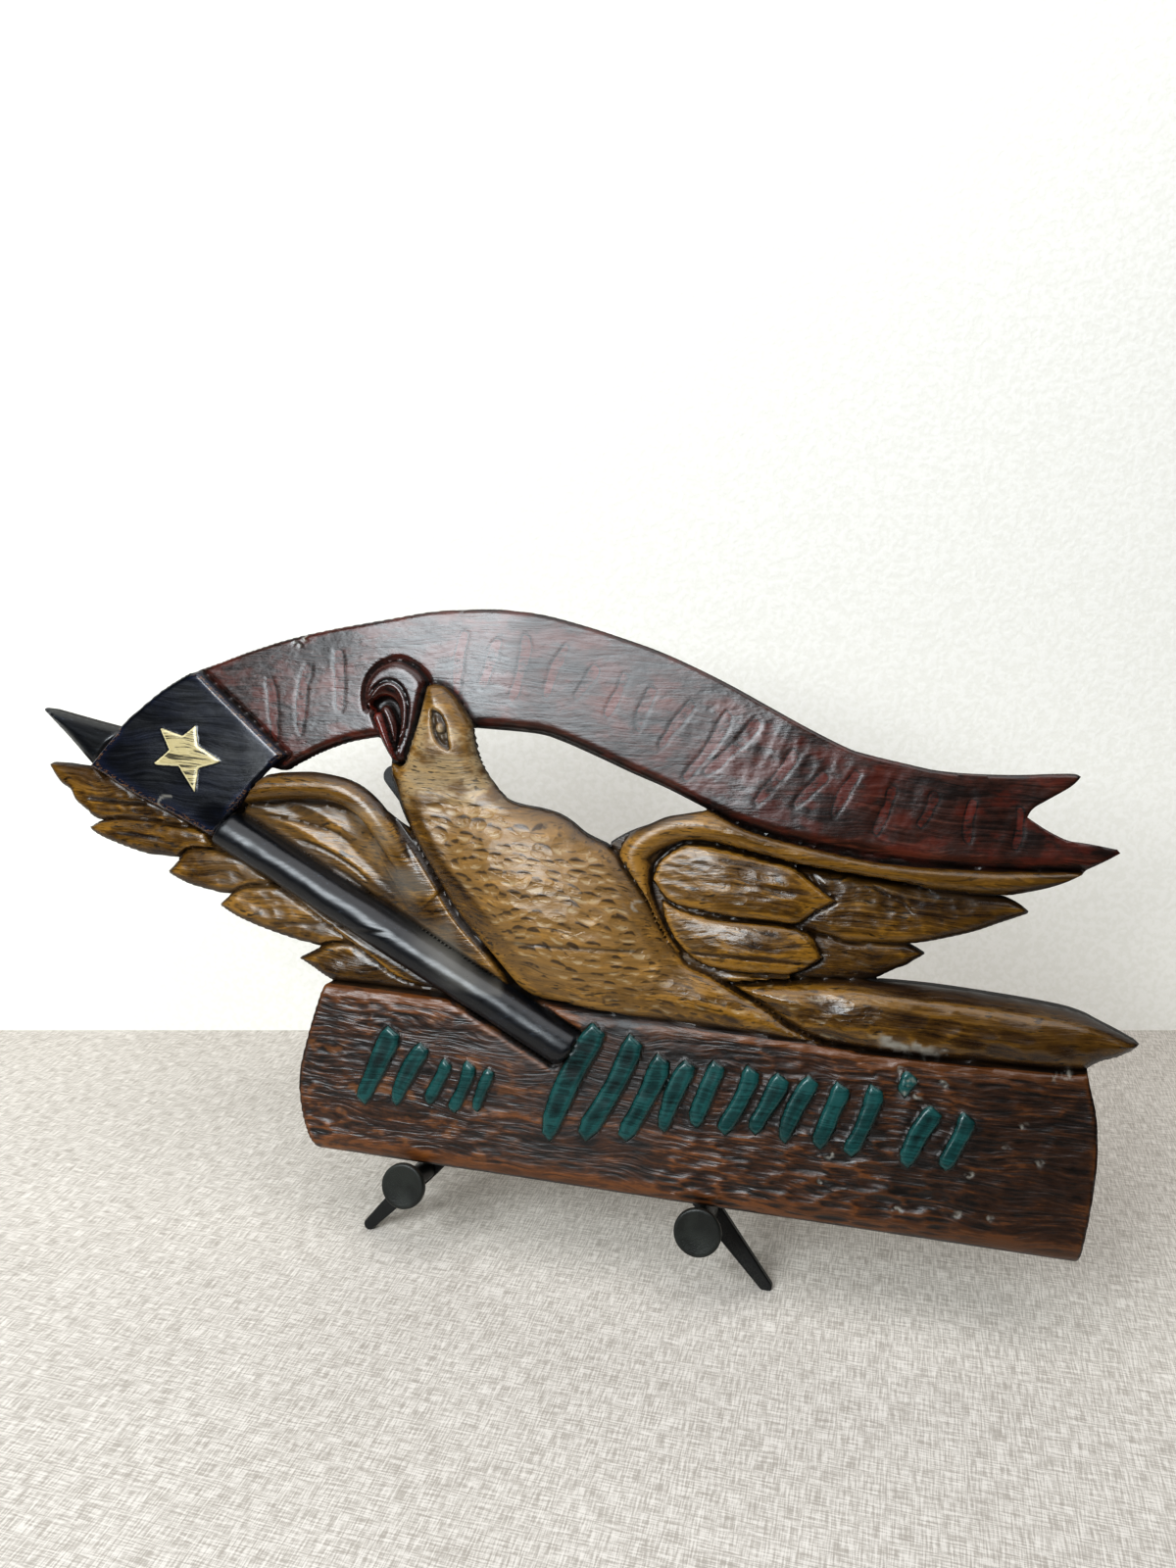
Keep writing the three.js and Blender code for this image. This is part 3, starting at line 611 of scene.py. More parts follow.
def carveBanner():
    top, bottom = smoothRun(bannerTop), smoothRun(bannerBottom)
    shape = outline(
        [(-214, 266), (-207.5, 270.6)], bannerTop[1:],
        [(280, 230), (270, 223), (263, 218), (260.3, 213.4)],
        [(270, 207.5), (280, 203.2), (290, 202.2), (305, 200)],
        [(300, 196.3), (290, 190), (287.5, 188)],
        [(250, 186), (200, 185), (160, 190), (125, 197), (103, 206.6)], bannerBottom[12:6:-1],
        bannerBottom[6:4:-1], bannerBottom[4::-1], [(-158, 216)],
    )

    def surface(s, t, depth):
        swell = 0.5 * drift(s, t, 50, 71) + 0.35 * drift(s, t, 18, 72) * ease(80, 150, s)
        lower = crown(np.maximum(t - heightOn(bottom, s), 0) * 0.93, 0, banner["rise"], banner["round"])
        upper = crown(np.maximum(heightOn(top, s) - t, 0) * 0.95, 0, 1.6, 2.2)
        return levels["banner"] + swell + lower + upper + crown(depth, 0, 0.8, 1.5)

    at, depth = layForm("banner", shape, "banner", surface, 1.1, 1.3)
    s = readAt("banner", at)[0]
    carveIn(at, ease(3, 7, depth) * ease(60, 140, s), banner["dents"], 73, banner["dentDeep"], 0.25)
    for first, last, lengths, width in banner["strokes"]:
        for k, length in enumerate(lengths):
            middleS = first + (last - first) * k / max(len(lengths) - 1, 1)
            middleT = (heightOn(bottom, middleS) + heightOn(top, middleS)) / 2
            middleT += 3 * math.sin(2.3 * k + middleS)
            run = heightOn(top, middleS + 8) - heightOn(top, middleS - 8)
            upright = math.atan2(run, 16) + math.radians(82 - 9 * math.sin(1.7 * k))
            cutStroke(strokeShape((middleS, middleT), length, width, upright, middleS))


def strokeShape(middle, length, width, angle, seed):
    # a bar with four cut corners, wider at its top end, whose long sides wave a little
    u = np.linspace(-0.5, 0.5, 9)
    half = width * (0.5 + 0.12 * u - 0.175 * (2 * np.abs(u)) ** 12 + 0.03 * np.sin(7 * u + seed))
    bow = 0.05 * length * np.cos(3 * u) * math.sin(seed)
    along = length * np.concatenate([u, u[::-1]])
    along += 0.08 * width * np.concatenate([np.ones(9), -np.ones(9)])
    beside = np.concatenate([bow + half, (bow - half)[::-1]])
    c, n = math.cos(angle), math.sin(angle)
    return np.stack([middle[0] + along * c - beside * n, middle[1] + along * n + beside * c], 1)[::-1]


def cutStroke(shape):  # its outline is cut in, and its inside is sunk a little and painted
    at = window(shape, 6)
    s, t = readAt("banner", at)
    bar = depthInside(shape, s, t) + 0.7 * drift(s, t, 6, 75)
    height[at] -= banner["strokeDeep"] * np.exp(-((bar / banner["strokeWidth"]) ** 2))
    height[at] -= banner["strokeSunk"] * ease(-0.3, 1.6, bar)
    cuts[at] = np.maximum(cuts[at], bar)


# The hooked beak lies on the banner: a hood, the hollow mouth and two narrow lobes that meet in a point
beak = {"hoodRise": 5.0, "hoodRound": 6.0, "mouthDeep": 6.0}


def carveBeak():
    hood = outline(
        [(-78, 221.8), (-72, 223)],
        [(-66.5, 242.5), (-63.4, 257.5), (-62, 267.5), (-66.3, 273.8), (-72.5, 278), (-80, 280.6),
         (-87.5, 279.4), (-95, 275), (-100, 267.5), (-101, 258.8), (-99.4, 251.6)],
        [(-97, 253.5), (-94.6, 248.5)], [(-90, 240), (-84.5, 231), (-78, 221.8)],
    )
    mouth = outline(
        [(-77.5, 226), (-74, 234), (-71.8, 245), (-72.5, 256), (-77, 264.5), (-84, 268), (-91, 265.5),
         (-95.5, 259.5), (-97, 254)],
        [(-90, 246), (-84, 236), (-77.5, 226)],
    )
    gape = outline(
        [(-77.6, 226.5), (-75.8, 236), (-75.5, 247), (-78, 256), (-83.5, 260.5), (-89.5, 260.5),
         (-94.5, 257), (-96.5, 253.5)],
        [(-90, 246), (-84, 236), (-77.6, 226.5)],
    )
    tongue = outline(
        [(-78, 225.5), (-77.6, 236), (-79.5, 246), (-84, 253.5), (-88, 254.5), (-90.5, 251.5)],
        [(-86, 243), (-81.5, 233), (-78, 225.5)],
    )
    lower = outline(
        [(-94, 246.8), (-92.5, 249.8), (-89.5, 250.6), (-86.5, 247.5), (-82.5, 238), (-79, 229),
         (-77.5, 222.5)],
        [(-81.3, 225.6), (-87.5, 235), (-94, 246.8)],
    )
    top = levels["beak"]

    def lobe(lift, rise, width):
        return lambda s, t, depth: crown(depth, top + lift, rise, width)

    def hollow(lift, deep, width):
        return lambda s, t, depth: top + lift - deep * ease(0, width, depth)

    layForm("beak", hood, "beak", lobe(0, beak["hoodRise"], beak["hoodRound"]), 1.8, 1.6)
    layForm("beak", mouth, "beak", hollow(0.6, 2.2, 7), 1.1, 1.1)
    layForm("beak", gape, "red", hollow(-1.5, beak["mouthDeep"], 2.5))
    layForm("beak", tongue, "beak", lobe(-1.4, 3.2, 4.0), 0.6, 1.0)
    layForm("beak", lower, "red", lobe(0.3, 3.6, 3.6), 1.0, 1.0)


almondEye = {"pupil": (-52.4, 243.0), "radius": 2.3, "deep": 2.0, "sunk": 0.9, "pupilRise": 1.1}


def carveEye():  # an almond cut into the side of the head, with a raised pupil
    almond = outline(
        [(-57.8, 252.4), (-53.6, 250.2), (-49.8, 243.5), (-47.3, 231.9)],
        [(-52.4, 235), (-56.4, 242.5), (-57.8, 252.4)],
    )
    at = window(almond, 8)
    s, t = readAt("eye", at)
    depth = depthInside(almond, s, t)
    pupilS, pupilT = almondEye["pupil"]
    pupil = np.hypot(s - pupilS, t - pupilT) - almondEye["radius"]
    height[at] -= almondEye["deep"] * np.exp(-((depth / 1.1) ** 2))
    height[at] -= almondEye["sunk"] * ease(0, 1.5, depth)
    height[at] += almondEye["pupilRise"] * ease(1.2, -0.8, pupil)
    shadeAndDarkLines[at] = np.maximum(shadeAndDarkLines[at], 0.95 * np.exp(-((depth / 1.0) ** 2)))
    shadeAndDarkLines[at] = np.maximum(shadeAndDarkLines[at], 0.75 * ease(0, 1.2, depth) * ease(-0.6, 0.6, pupil))
    pale[at] = np.maximum(pale[at], 0.3 * ease(0.5, -0.7, pupil))


# The pole with its pointed head, and the starred field that lies over it
pole = {"start": (-186.0, 178.5), "end": (35.3, 72.0), "radius": 12.0, "axis": 17.0}
field = {"bevel": 1.8, "bevelWidth": 3.2, "starRise": 0.8}


def carvePole():
    (aS, aT), (bS, bT) = pole["start"], pole["end"]
    run = np.array([bS - aS, bT - aT])
    run /= np.hypot(*run)
    side = np.array([-run[1], run[0]]) * pole["radius"]
    near, end = np.array(pole["start"]), np.array(pole["end"])
    blunt = end + np.outer((1, 0.2, -0.55, -1), side) + np.outer((1.5, 2.6, -1, -4.5), run)
    shape = np.vstack([near - side, near + side, blunt])[::-1]
    line = np.vstack([near, end + 12 * run])

    def surface(s, t, depth):
        off = besideLine(line, s, t)[0] + 0.5 * drift(s, t, 26, 81)
        arch = np.sqrt(np.clip(pole["radius"] ** 2 - off**2, 0.4, None))
        return pole["axis"] + arch + 0.25 * drift(s, t, 9, 82)

    layForm("pole", shape, "pole", surface, 1.6, 1.7)


def carveFinial():
    shape = outline(
        [(-319, 242.3), (-316.5, 243.6), (-310, 242.6), (-285, 237.8), (-250, 231.5)], [(-268, 203)],
        [(-280, 211.2), (-295, 223.8), (-310, 235.4), (-319, 242.3)],
    )

    def surface(s, t, depth):
        return crown(depth, levels["finial"] + 0.06 * (s + 300), 9, 11)

    layForm("finial", shape, "pole", surface, 1.2, 1.6)


def carveCanton():
    shape = outline(
        [(-281, 208.3), (-280, 211), (-270, 223), (-260, 233.5), (-250, 243), (-240, 251.3),
         (-230, 258.8), (-215, 267.8), (-208, 270.4)],
        [(-203, 265.5), (-148, 222.6)],
        [(-154, 217), (-166, 205), (-175, 192.5), (-190, 175), (-195.5, 171.3)],
        [(-202.5, 175), (-220, 182.5), (-240, 190), (-255, 196.3), (-270, 203.8), (-281, 208.3)],
    )

    def surface(s, t, depth):
        # it sinks towards two of its corners
        lower, left = np.hypot(s + 192, t - 172), np.hypot(s + 280, t - 210)
        flat = crown(depth, levels["canton"], field["bevel"], field["bevelWidth"])
        return flat - 2.4 * ease(22, 0, lower) - 0.8 * ease(30, 0, left) + 0.25 * drift(s, t, 22, 83)

    layForm("canton", shape, "canton", surface, 2.2, 1.6)
    tips = [(-232.8, 234.6), (-208.8, 237), (-190.2, 216.6), (-206.4, 197.4), (-236, 212.4)]
    dips = [(-217, 230.4), (-206.4, 225.2), (-205.2, 212), (-218.6, 212.4), (-225.6, 221.6)]
    star = np.array([point for pair in zip(tips, dips) for point in pair])
    rise = field["starRise"]
    top = levels["canton"] + rise
    layForm("star", star[::-1], "star", lambda s, t, depth: crown(depth, top, rise, 1.5))


# Slanting strokes stand up from the log in rows, painted teal
teal = {
    "slope": math.radians(68), "rise": 2.5, "round": 2.4,
    "strokes": [  # middle s, middle t, length, width
        (-78, 50, 46, 12), (-58, 47, 38, 10), (-41, 45, 27, 8), (-27, 44, 29, 8), (-14, 44, 25, 7),
        (37, 54, 68, 13), (57, 54, 62, 12), (76, 51, 50, 11), (94, 54, 40, 10), (110, 57, 36, 10),
        (126, 56, 38, 9.5), (142, 56, 34, 10), (158, 55, 37, 9.5), (174, 54, 35, 9.5), (190, 54, 38, 9),
        (211, 75, 12, 8), (219, 49, 33, 10), (236, 49, 30, 9),
    ],
}


def raiseStrokes():
    for k, (middleS, middleT, length, width) in enumerate(teal["strokes"]):
        slope = teal["slope"] + 0.06 * math.sin(5 * k)
        raiseStroke(strokeShape((middleS, middleT), length, width, slope, 1.7 * k))


def raiseStroke(shape):
    at = window(shape)
    s, t = readAt("teal", at)
    depth = depthInside(shape, s, t) + 0.3 * drift(s, t, 8, 91)
    top = crown(depth, teal["rise"], teal["rise"], teal["round"]) + 0.2 * drift(s, t, 7, 92)
    lifted = ease(-0.3, 0.7, depth)
    height[at] = height[at] * (1 - lifted) + (levels["log"] - 0.3 + top) * lifted
    coat(at, "teal", depth)


# Small damage: the joint between two boards, scratches, and chips that show pale wood and dust
damage = {
    "joints": [((-152, 124), (-128, 125.5), (-88, 126.5), (-66, 127)), ((-3.8, 128.1), (30, 129),
                                                                        (75, 130.3)),
               ((92, 130.8), (130, 131.4), (168, 131))],
    "loop": ((59, 103), (57, 104.6), (54.4, 104), (53.4, 101.6), (54.8, 99.4), (57.6, 99.4),
             (59.4, 101)),
    "scratches": [((69.5, 156), (66.4, 155.4), (65.6, 152.6), (67.8, 151)),
                  ((-219, 194), (-225, 193.4), (-227.3, 189.6), (-224, 186))],
    "dust": ((194, 97), (205, 94.6), (216, 93.4), (230, 92.6)),
    "chips": [  # s, t, size
        (211, 91, 1.5), (216, 93.5, 1.1), (222, 92.5, 1.6), (229, 94, 1.2), (281, 87, 1.3),
        (285, 89.5, 1.6), (208, 83, 1.3), (213, 77, 1.7), (209, 71.5, 1.2), (216.5, 70.5, 1.2),
        (228, 78, 1.4), (268, 62, 1.3), (260, 50, 1.1), (276, 45, 1.3), (243, 35, 1.2), (175, 35, 1.3),
        (172, 22, 1.2), (238, 15, 1.3), (255, 15, 1.1), (210, 12, 1.3), (-140, 291, 1.3),
        (-146, 287, 1.6),
    ],
}


def addDamage():
    for points in damage["joints"]:
        cutLine("wing", points, 0.6, 1.3, 0.1, 0.1, 0.85)
    cutLine("body", damage["loop"], 0.3, 0.9, 0.0, 0.0, 0.5)
    for points in damage["scratches"]:
        line = smoothRun(points)
        at = window(line, 3)
        off = besideLine(line, *readAt("body", at))[0]
        pale[at] = np.maximum(pale[at], 0.55 * ease(1.1, 0.3, np.abs(off)))
    for chipS, chipT, size in damage["chips"]:
        at = window(np.array([[chipS, chipT]]), 3)
        s, t = readAt("log", at)
        offS, offT = s - chipS, t - chipT
        side = offS * math.cos(2.4 * chipS) + offT * math.sin(2.4 * chipS)
        arc = 0.7 - np.abs(np.hypot(offS * 0.7, offT) - size)
        depth = np.minimum(arc, 0.6 * side + 0.5) + 0.4 * drift(s, t, 1.7, chipS)
        height[at] -= 0.5 * ease(-0.3, 0.8, depth)
        pale[at] = np.maximum(pale[at], 0.75 * ease(0.0, 0.8, depth))
    line = smoothRun(damage["dust"])
    at = window(line, 6)
    s, t = readAt("log", at)
    off, along = besideLine(line, s, t)
    ragged = np.abs(off) + 2.2 * drift(s, t, 2.4, 71)
    sheenGrey = ease(3.6, 0.4, ragged) * ease(0, 0.15, along) * ease(0, 0.3, 1 - along)
    pale[at] = np.maximum(pale[at], 0.9 * sheenGrey)


for carve in (
    layBacking, carveLog, carveLeftWing, carveRightWing, carveTail, carveBanner, carveBody, carveBeak,
    carveEye, carvePole, carveFinial, carveCanton, raiseStrokes, addDamage,
):
    carve()
print("heights worked out on", gridS.size, "points")


def blurred(values, radius):  # a running average with a bell-shaped weight, along each direction in turn
    reach = int(math.ceil(2.5 * radius / carving["pitch"]))
    steps = np.arange(-reach, reach + 1)
    weights = np.exp(-0.5 * (steps * carving["pitch"] / radius) ** 2)
    weights /= weights.sum()
    for axis in (0, 1):
        padded = np.pad(values, [(reach, reach) if a == axis else (0, 0) for a in (0, 1)], mode="edge")
        size = values.shape[axis]
        shifted = (np.take(padded, np.arange(k, k + size), axis=axis) for k in range(len(weights)))
        values = sum(w * part for w, part in zip(weights, shifted))
    return values


def hollows(radius):  # how far a point lies below the average of the wood around it, in millimetres
    wood = (inside > 0).astype(float)
    return blurred(height * wood, radius) / np.maximum(blurred(wood, radius), 1e-3) - height


attributes = {name + "Depth": paint[name] for name in paints}
attributes.update({
    "cutDepth": cuts, "shadeAndDarkLines": shadeAndDarkLines, "pale": pale, "pitted": pitted,
    "hollowFine": hollows(1.8), "hollowWide": hollows(6.0), "edgeDepth": inside,
})


# The mesh: the grid is cut to the outline, walled down to the flat back and closed there

def cutGrid(values):
    # each cell is halved along its flatter diagonal; grid points near the outline are moved onto it, and
    # triangles that still cross it are clipped. It returns points, triangles and the values at the points
    rows, columns = gridS.shape
    slopeT, slopeS = np.gradient(inside, carving["pitch"])
    steep = np.maximum(slopeS**2 + slopeT**2, 0.25)
    near = np.abs(inside) < 0.3 * carving["pitch"]
    s = (gridS - np.where(near, inside * slopeS / steep, 0)).ravel()
    t = (gridT - np.where(near, inside * slopeT / steep, 0)).ravel()
    state = np.where(near, 0, np.sign(inside)).ravel().astype(int)
    level = inside.ravel()
    flat = height.ravel()
    corner = np.arange(rows * columns).reshape(rows, columns)
    blocks = corner[:-1, :-1], corner[:-1, 1:], corner[1:, 1:], corner[1:, :-1]
    a, b, c, d = (block.ravel() for block in blocks)
    split = np.abs(flat[a] - flat[c]) <= np.abs(flat[b] - flat[d])
    first = np.where(split[:, None], np.stack([a, b, c], 1), np.stack([a, b, d], 1))
    second = np.where(split[:, None], np.stack([a, c, d], 1), np.stack([b, c, d], 1))
    triangles = np.vstack([first, second])
    states = state[triangles]
    plus, minus = (states > 0).sum(1), (states < 0).sum(1)
    whole = triangles[(plus > 0) & (minus == 0)]
    pieces = [whole]

    def turned(chosen, lead):  # triangles turned so that the corner marked in `lead` comes first
        turn = np.argmax(lead, axis=1)[:, None]
        return np.take_along_axis(chosen, (turn + np.arange(3)) % 3, axis=1)

    onePlus = (plus == 1) & (minus == 2)
    oneMinus = (plus == 2) & (minus == 1)
    through = (plus == 1) & (minus == 1)
    small = turned(triangles[onePlus], states[onePlus] > 0)
    large = turned(triangles[oneMinus], states[oneMinus] < 0)
    half = turned(triangles[through], states[through] == 0)
    edges = np.vstack([
        small[:, [0, 1]], small[:, [0, 2]], large[:, [0, 1]], large[:, [0, 2]], half[:, [1, 2]],
    ])
    edges.sort(axis=1)
    unique, where = np.unique(edges, axis=0, return_inverse=True)
    where = where.ravel() + rows * columns
    share = level[unique[:, 0]] / (level[unique[:, 0]] - level[unique[:, 1]])
    share = np.clip(share, 0, 1)
    counts = np.cumsum([0, len(small), len(small), len(large), len(large), len(half)])
    smallOne, smallTwo, largeOne, largeTwo, halfOne = (where[counts[k]:counts[k + 1]] for k in range(5))
    pieces.append(np.stack([small[:, 0], smallOne, smallTwo], 1))
    pieces.append(np.stack([largeOne, large[:, 1], large[:, 2]], 1))
    pieces.append(np.stack([largeOne, large[:, 2], largeTwo], 1))
    keepsSecond = state[half[:, 1]] > 0
    pieces.append(np.stack([half[:, 0], half[:, 1], halfOne], 1)[keepsSecond])
    pieces.append(np.stack([half[:, 0], halfOne, half[:, 2]], 1)[~keepsSecond])
    made = np.vstack(pieces)
    used, made = np.unique(made, return_inverse=True)
    made = made.reshape(-1, 3)

    def atAll(v):  # a value at grid points and at the crossings, then only where it is used
        v = v.ravel()
        near, other = v[unique[:, 0]], v[unique[:, 1]]
        return np.concatenate([v, near * (1 - share) + other * share])[used]

    points = np.stack([atAll(s), atAll(t), atAll(flat)], 1)
    return points, made, {name: atAll(v) for name, v in values.items()}


def rimOf(triangles):  # the directed edges that only one triangle has
    edges = np.vstack([triangles[:, [0, 1]], triangles[:, [1, 2]], triangles[:, [2, 0]]])
    base = triangles.max() + 1
    codes, back = edges[:, 0] * base + edges[:, 1], edges[:, 1] * base + edges[:, 0]
    return edges[~np.isin(codes, back)]


def fillFlat(points, rim):
    # triangles that close a flat region inside its rims and face the back; those whose middle has an even
    # number of rim edges on its right lie in an opening and are left out
    bm = bmesh.new()
    corners = [bm.verts.new((s, t, 0)) for s, t in points[:, :2]]
    edges = [bm.edges.new((corners[i], corners[j])) for i, j in rim]
    for k, corner in enumerate(corners):
        corner.index = k
    bmesh.ops.triangle_fill(bm, edges=edges, use_beauty=True, use_dissolve=False)
    faces = np.array([[v.index for v in face.verts] for face in bm.faces])
    bm.free()
    a, b, c = (points[faces[:, k], :2] for k in range(3))
    area = (b[:, 0] - a[:, 0]) * (c[:, 1] - a[:, 1]) - (b[:, 1] - a[:, 1]) * (c[:, 0] - a[:, 0])
    middle = (a + b + c) / 3
    low, high = points[rim[:, 0], None, :2], points[rim[:, 1], None, :2]
    spans = (low[..., 1] > middle[:, 1]) != (high[..., 1] > middle[:, 1])
    rise = np.where(spans, high[..., 1] - low[..., 1], 1)
    crossing = low[..., 0] + (middle[:, 1] - low[..., 1]) * (high[..., 0] - low[..., 0]) / rise
    within = (spans & (middle[:, 0] < crossing)).sum(axis=0) % 2 == 1
    return np.where(area[:, None] > 0, faces[:, ::-1], faces)[within]


def newMesh(name, points, faces, smooth=True):  # points in metres; faces as rows of 3 or 4 point numbers
    mesh = bpy.data.meshes.new(name)
    faces = [np.asarray(block) for block in faces if len(block)]
    corners = np.concatenate([block.ravel() for block in faces]).astype(np.int32)
    sizes = np.concatenate([np.full(len(block), block.shape[1]) for block in faces]).astype(np.int32)
    mesh.vertices.add(len(points))
    mesh.vertices.foreach_set("co", np.asarray(points, np.float32).ravel())
    mesh.loops.add(len(corners))
    mesh.loops.foreach_set("vertex_index", corners)
    mesh.polygons.add(len(sizes))
    mesh.polygons.foreach_set("loop_start", np.concatenate([[0], np.cumsum(sizes)[:-1]]).astype(np.int32))
    mesh.update(calc_edges=True)
    mesh.validate()
    mesh.polygons.foreach_set("use_smooth", np.full(len(mesh.polygons), smooth))
    thing = bpy.data.objects.new(name, mesh)
    bpy.context.scene.collection.objects.link(thing)
    return thing


wall = {
    "steps": (0.62, 0.2),   # where the side walls are divided, as shares of their height
    "high": 22.0,           # stands for the height of every wall where the openings' walls slant
}


def undercut(points):
    # the walls of the openings beside the head slant along the line of sight, so that only their front
    # edges show: each goes the share h / (eye - h) of the way to the eye's foot, fading out round the
    # openings. One height stands for all the walls, so that no two parts of a rim cross
    s, t = points[:, 0], points[:, 1]
    share = ease(-180, -152, s) * ease(172, 190, t) * ease(288, 262, t) * ease(150, 110, s)
    return share * (eye["s"] - s) * wall["high"] / (eye["h"] - wall["high"])


def buildPlaque():
    points, front, values = cutGrid(attributes)
    rim = rimOf(front)
    rimPoints, rimEdges = np.unique(rim, return_inverse=True)
    rimEdges = rimEdges.reshape(-1, 2)
    count, rimCount = len(points), len(rimPoints)
    rings = [rimPoints]
    layers = [points]
    faces = [front]
    for k, share in enumerate(wall["steps"] + (0.0,)):
        ring = points[rimPoints].copy()
        ring[:, 0] -= (1 - share) * undercut(ring)
        ring[:, 2] *= share
        layers.append(ring)
        rings.append(count + k * rimCount + np.arange(rimCount))
    for upper, lower in zip(rings[:-1], rings[1:]):
        a, b = rimEdges.T
        faces.append(np.stack([upper[a], lower[a], lower[b], upper[b]], 1))
    faces.append(rings[-1][fillFlat(layers[-1], rimEdges)])
    everything = np.vstack(layers)
    thing = newMesh("carving", toRow(*everything.T), faces)
    copies = len(wall["steps"]) + 1
    for name, v in values.items():
        held = thing.data.attributes.new(name, "FLOAT", "POINT")
        onWall = v[rimPoints] * 0 - 1 if name == "edgeDepth" else v[rimPoints]
        spread = np.concatenate([v] + [onWall] * copies)
        held.data.foreach_set("value", spread.astype(np.float32))
    thing.data.set_sharp_from_angle(angle=math.radians(48))
    triangles = sum(len(block) * (block.shape[1] - 2) for block in faces)
    print("carving:", len(everything), "points,", triangles, "triangles")
    return thing


# Materials. A Value wraps a socket, so shader maths is written as an expression.

class Value:
    def __init__(self, sheet, socket):
        self.sheet, self.socket = sheet, socket

    def maths(self, operation, *others):
        sockets = dict(enumerate((self,) + others))
        return self.sheet.node("ShaderNodeMath", {"operation": operation}, sockets)

    def __add__(self, other):
        return self.maths("ADD", other)

    def __sub__(self, other):
        return self.maths("SUBTRACT", other)

    def __rsub__(self, other):
        return self.sheet.node("ShaderNodeMath", {"operation": "SUBTRACT"}, {0: other, 1: self})

    def __mul__(self, other):
        return self.maths("MULTIPLY", other)

    def __abs__(self):
        return self.maths("ABSOLUTE")

    __radd__ = __add__
    __rmul__ = __mul__

    def covered(self, share, tone):  # a colour with another over it
        return self.sheet.mix(share, self, tone)

    def larger(self, other):
        return self.maths("MAXIMUM", other)

    def between(self, low, high, toLow=0.0, toHigh=1.0, eased=True):  # mapped to another range
        settings = {"interpolation_type": "SMOOTHSTEP" if eased else "LINEAR"}
        sockets = {"Value": self, "From Min": low, "From Max": high, "To Min": toLow, "To Max": toHigh}
        return self.sheet.node("ShaderNodeMapRange", settings, sockets)


class Sheet:  # one material and the nodes on it
    def __init__(self, name):
        self.material = bpy.data.materials.new(name)
        self.material.use_nodes = True
        self.tree = self.material.node_tree
        self.tree.nodes.clear()

    def node(self, kind, settings=None, sockets=None, out=0):
        made = self.tree.nodes.new(kind)
        for name, setting in (settings or {}).items():
            setattr(made, name, setting)
        for key, given in (sockets or {}).items():
            socket = made.inputs[key]
            if isinstance(given, Value):
                self.tree.links.new(given.socket, socket)
            else:
                socket.default_value = given
        return Value(self, made.outputs[out]) if len(made.outputs) else made

    def attribute(self, name):
        return self.node("ShaderNodeAttribute", {"attribute_name": name}, out="Fac")

    def place(self, turn=0.0, offset=(0, 0, 0)):  # Object coordinates in millimetres, turned about X
        sockets = {"Location": offset, "Rotation": (turn, 0, 0), "Scale": (1 / mm,) * 3}
        sockets["Vector"] = self.node("ShaderNodeTexCoord", out="Object")
        return self.node("ShaderNodeMapping", sockets=sockets)

    def stretched(self, vector, scale, turn=0.0):  # a vector turned about its third axis, then scaled
        turned = self.node("ShaderNodeMapping", sockets={"Vector": vector, "Rotation": (0, 0, turn)})
        return self.node("ShaderNodeMapping", sockets={"Vector": turned, "Scale": scale})

    def added(self, vector, other):
        return self.node("ShaderNodeVectorMath", {"operation": "ADD"}, {0: vector, 1: other})

    def noise(self, vector, scale=1.0, detail=3.0, rough=0.5):
        sockets = {"Vector": vector, "Scale": scale, "Detail": detail, "Roughness": rough}
        return self.node("ShaderNodeTexNoise", {}, sockets)

    def cells(self, vector, random=1.0):  # distance to the nearest of some scattered points
        sockets = {"Vector": vector, "Scale": 1.0, "Randomness": random}
        return self.node("ShaderNodeTexVoronoi", {"feature": "F1", "voronoi_dimensions": "2D"}, sockets)

    def mix(self, share, a, b):  # between two colours
        sockets = {0: share, 6: colour(a), 7: colour(b)}
        return self.node("ShaderNodeMix", {"data_type": "RGBA"}, sockets, 2)

    def mixNumber(self, share, a, b):
        return self.node("ShaderNodeMix", {"data_type": "FLOAT"}, {0: share, 2: a, 3: b})

    def parts(self, vector):
        split = self.tree.nodes.new("ShaderNodeSeparateXYZ")
        self.tree.links.new(vector.socket, split.inputs[0])
        return [Value(self, socket) for socket in split.outputs]

    def bump(self, relief, distance, strength=1.0):  # relief in millimetres
        sockets = {"Height": relief, "Distance": distance, "Strength": strength}
        return self.node("ShaderNodeBump", {}, sockets)

    def surface(self, oneSided=False, **finish):  # Values are linked, and numbers set on the shader
        sockets = {name.replace("_", " "): given for name, given in finish.items()}
        shader = self.node("ShaderNodeBsdfPrincipled", {}, sockets)
        if oneSided:                                   # clear when it is seen from behind
            behind = self.node("ShaderNodeNewGeometry", out="Backfacing")
            clear = self.node("ShaderNodeBsdfTransparent")
            shader = self.node("ShaderNodeMixShader", sockets={0: behind, 1: shader, 2: clear})
        self.node("ShaderNodeOutputMaterial", sockets={"Surface": shader})
        return self.material


def colour(value):  # a tone's name or a hex colour as linear light, or a Value as it is
    if not isinstance(value, str):
        return value
    value = carvedTones.get(value, value)
    channels = [int(value[k:k + 2], 16) / 255 for k in (0, 2, 4)]
    return tuple(c / 12.92 if c <= 0.04045 else ((c + 0.055) / 1.055) ** 2.4 for c in channels) + (1.0,)


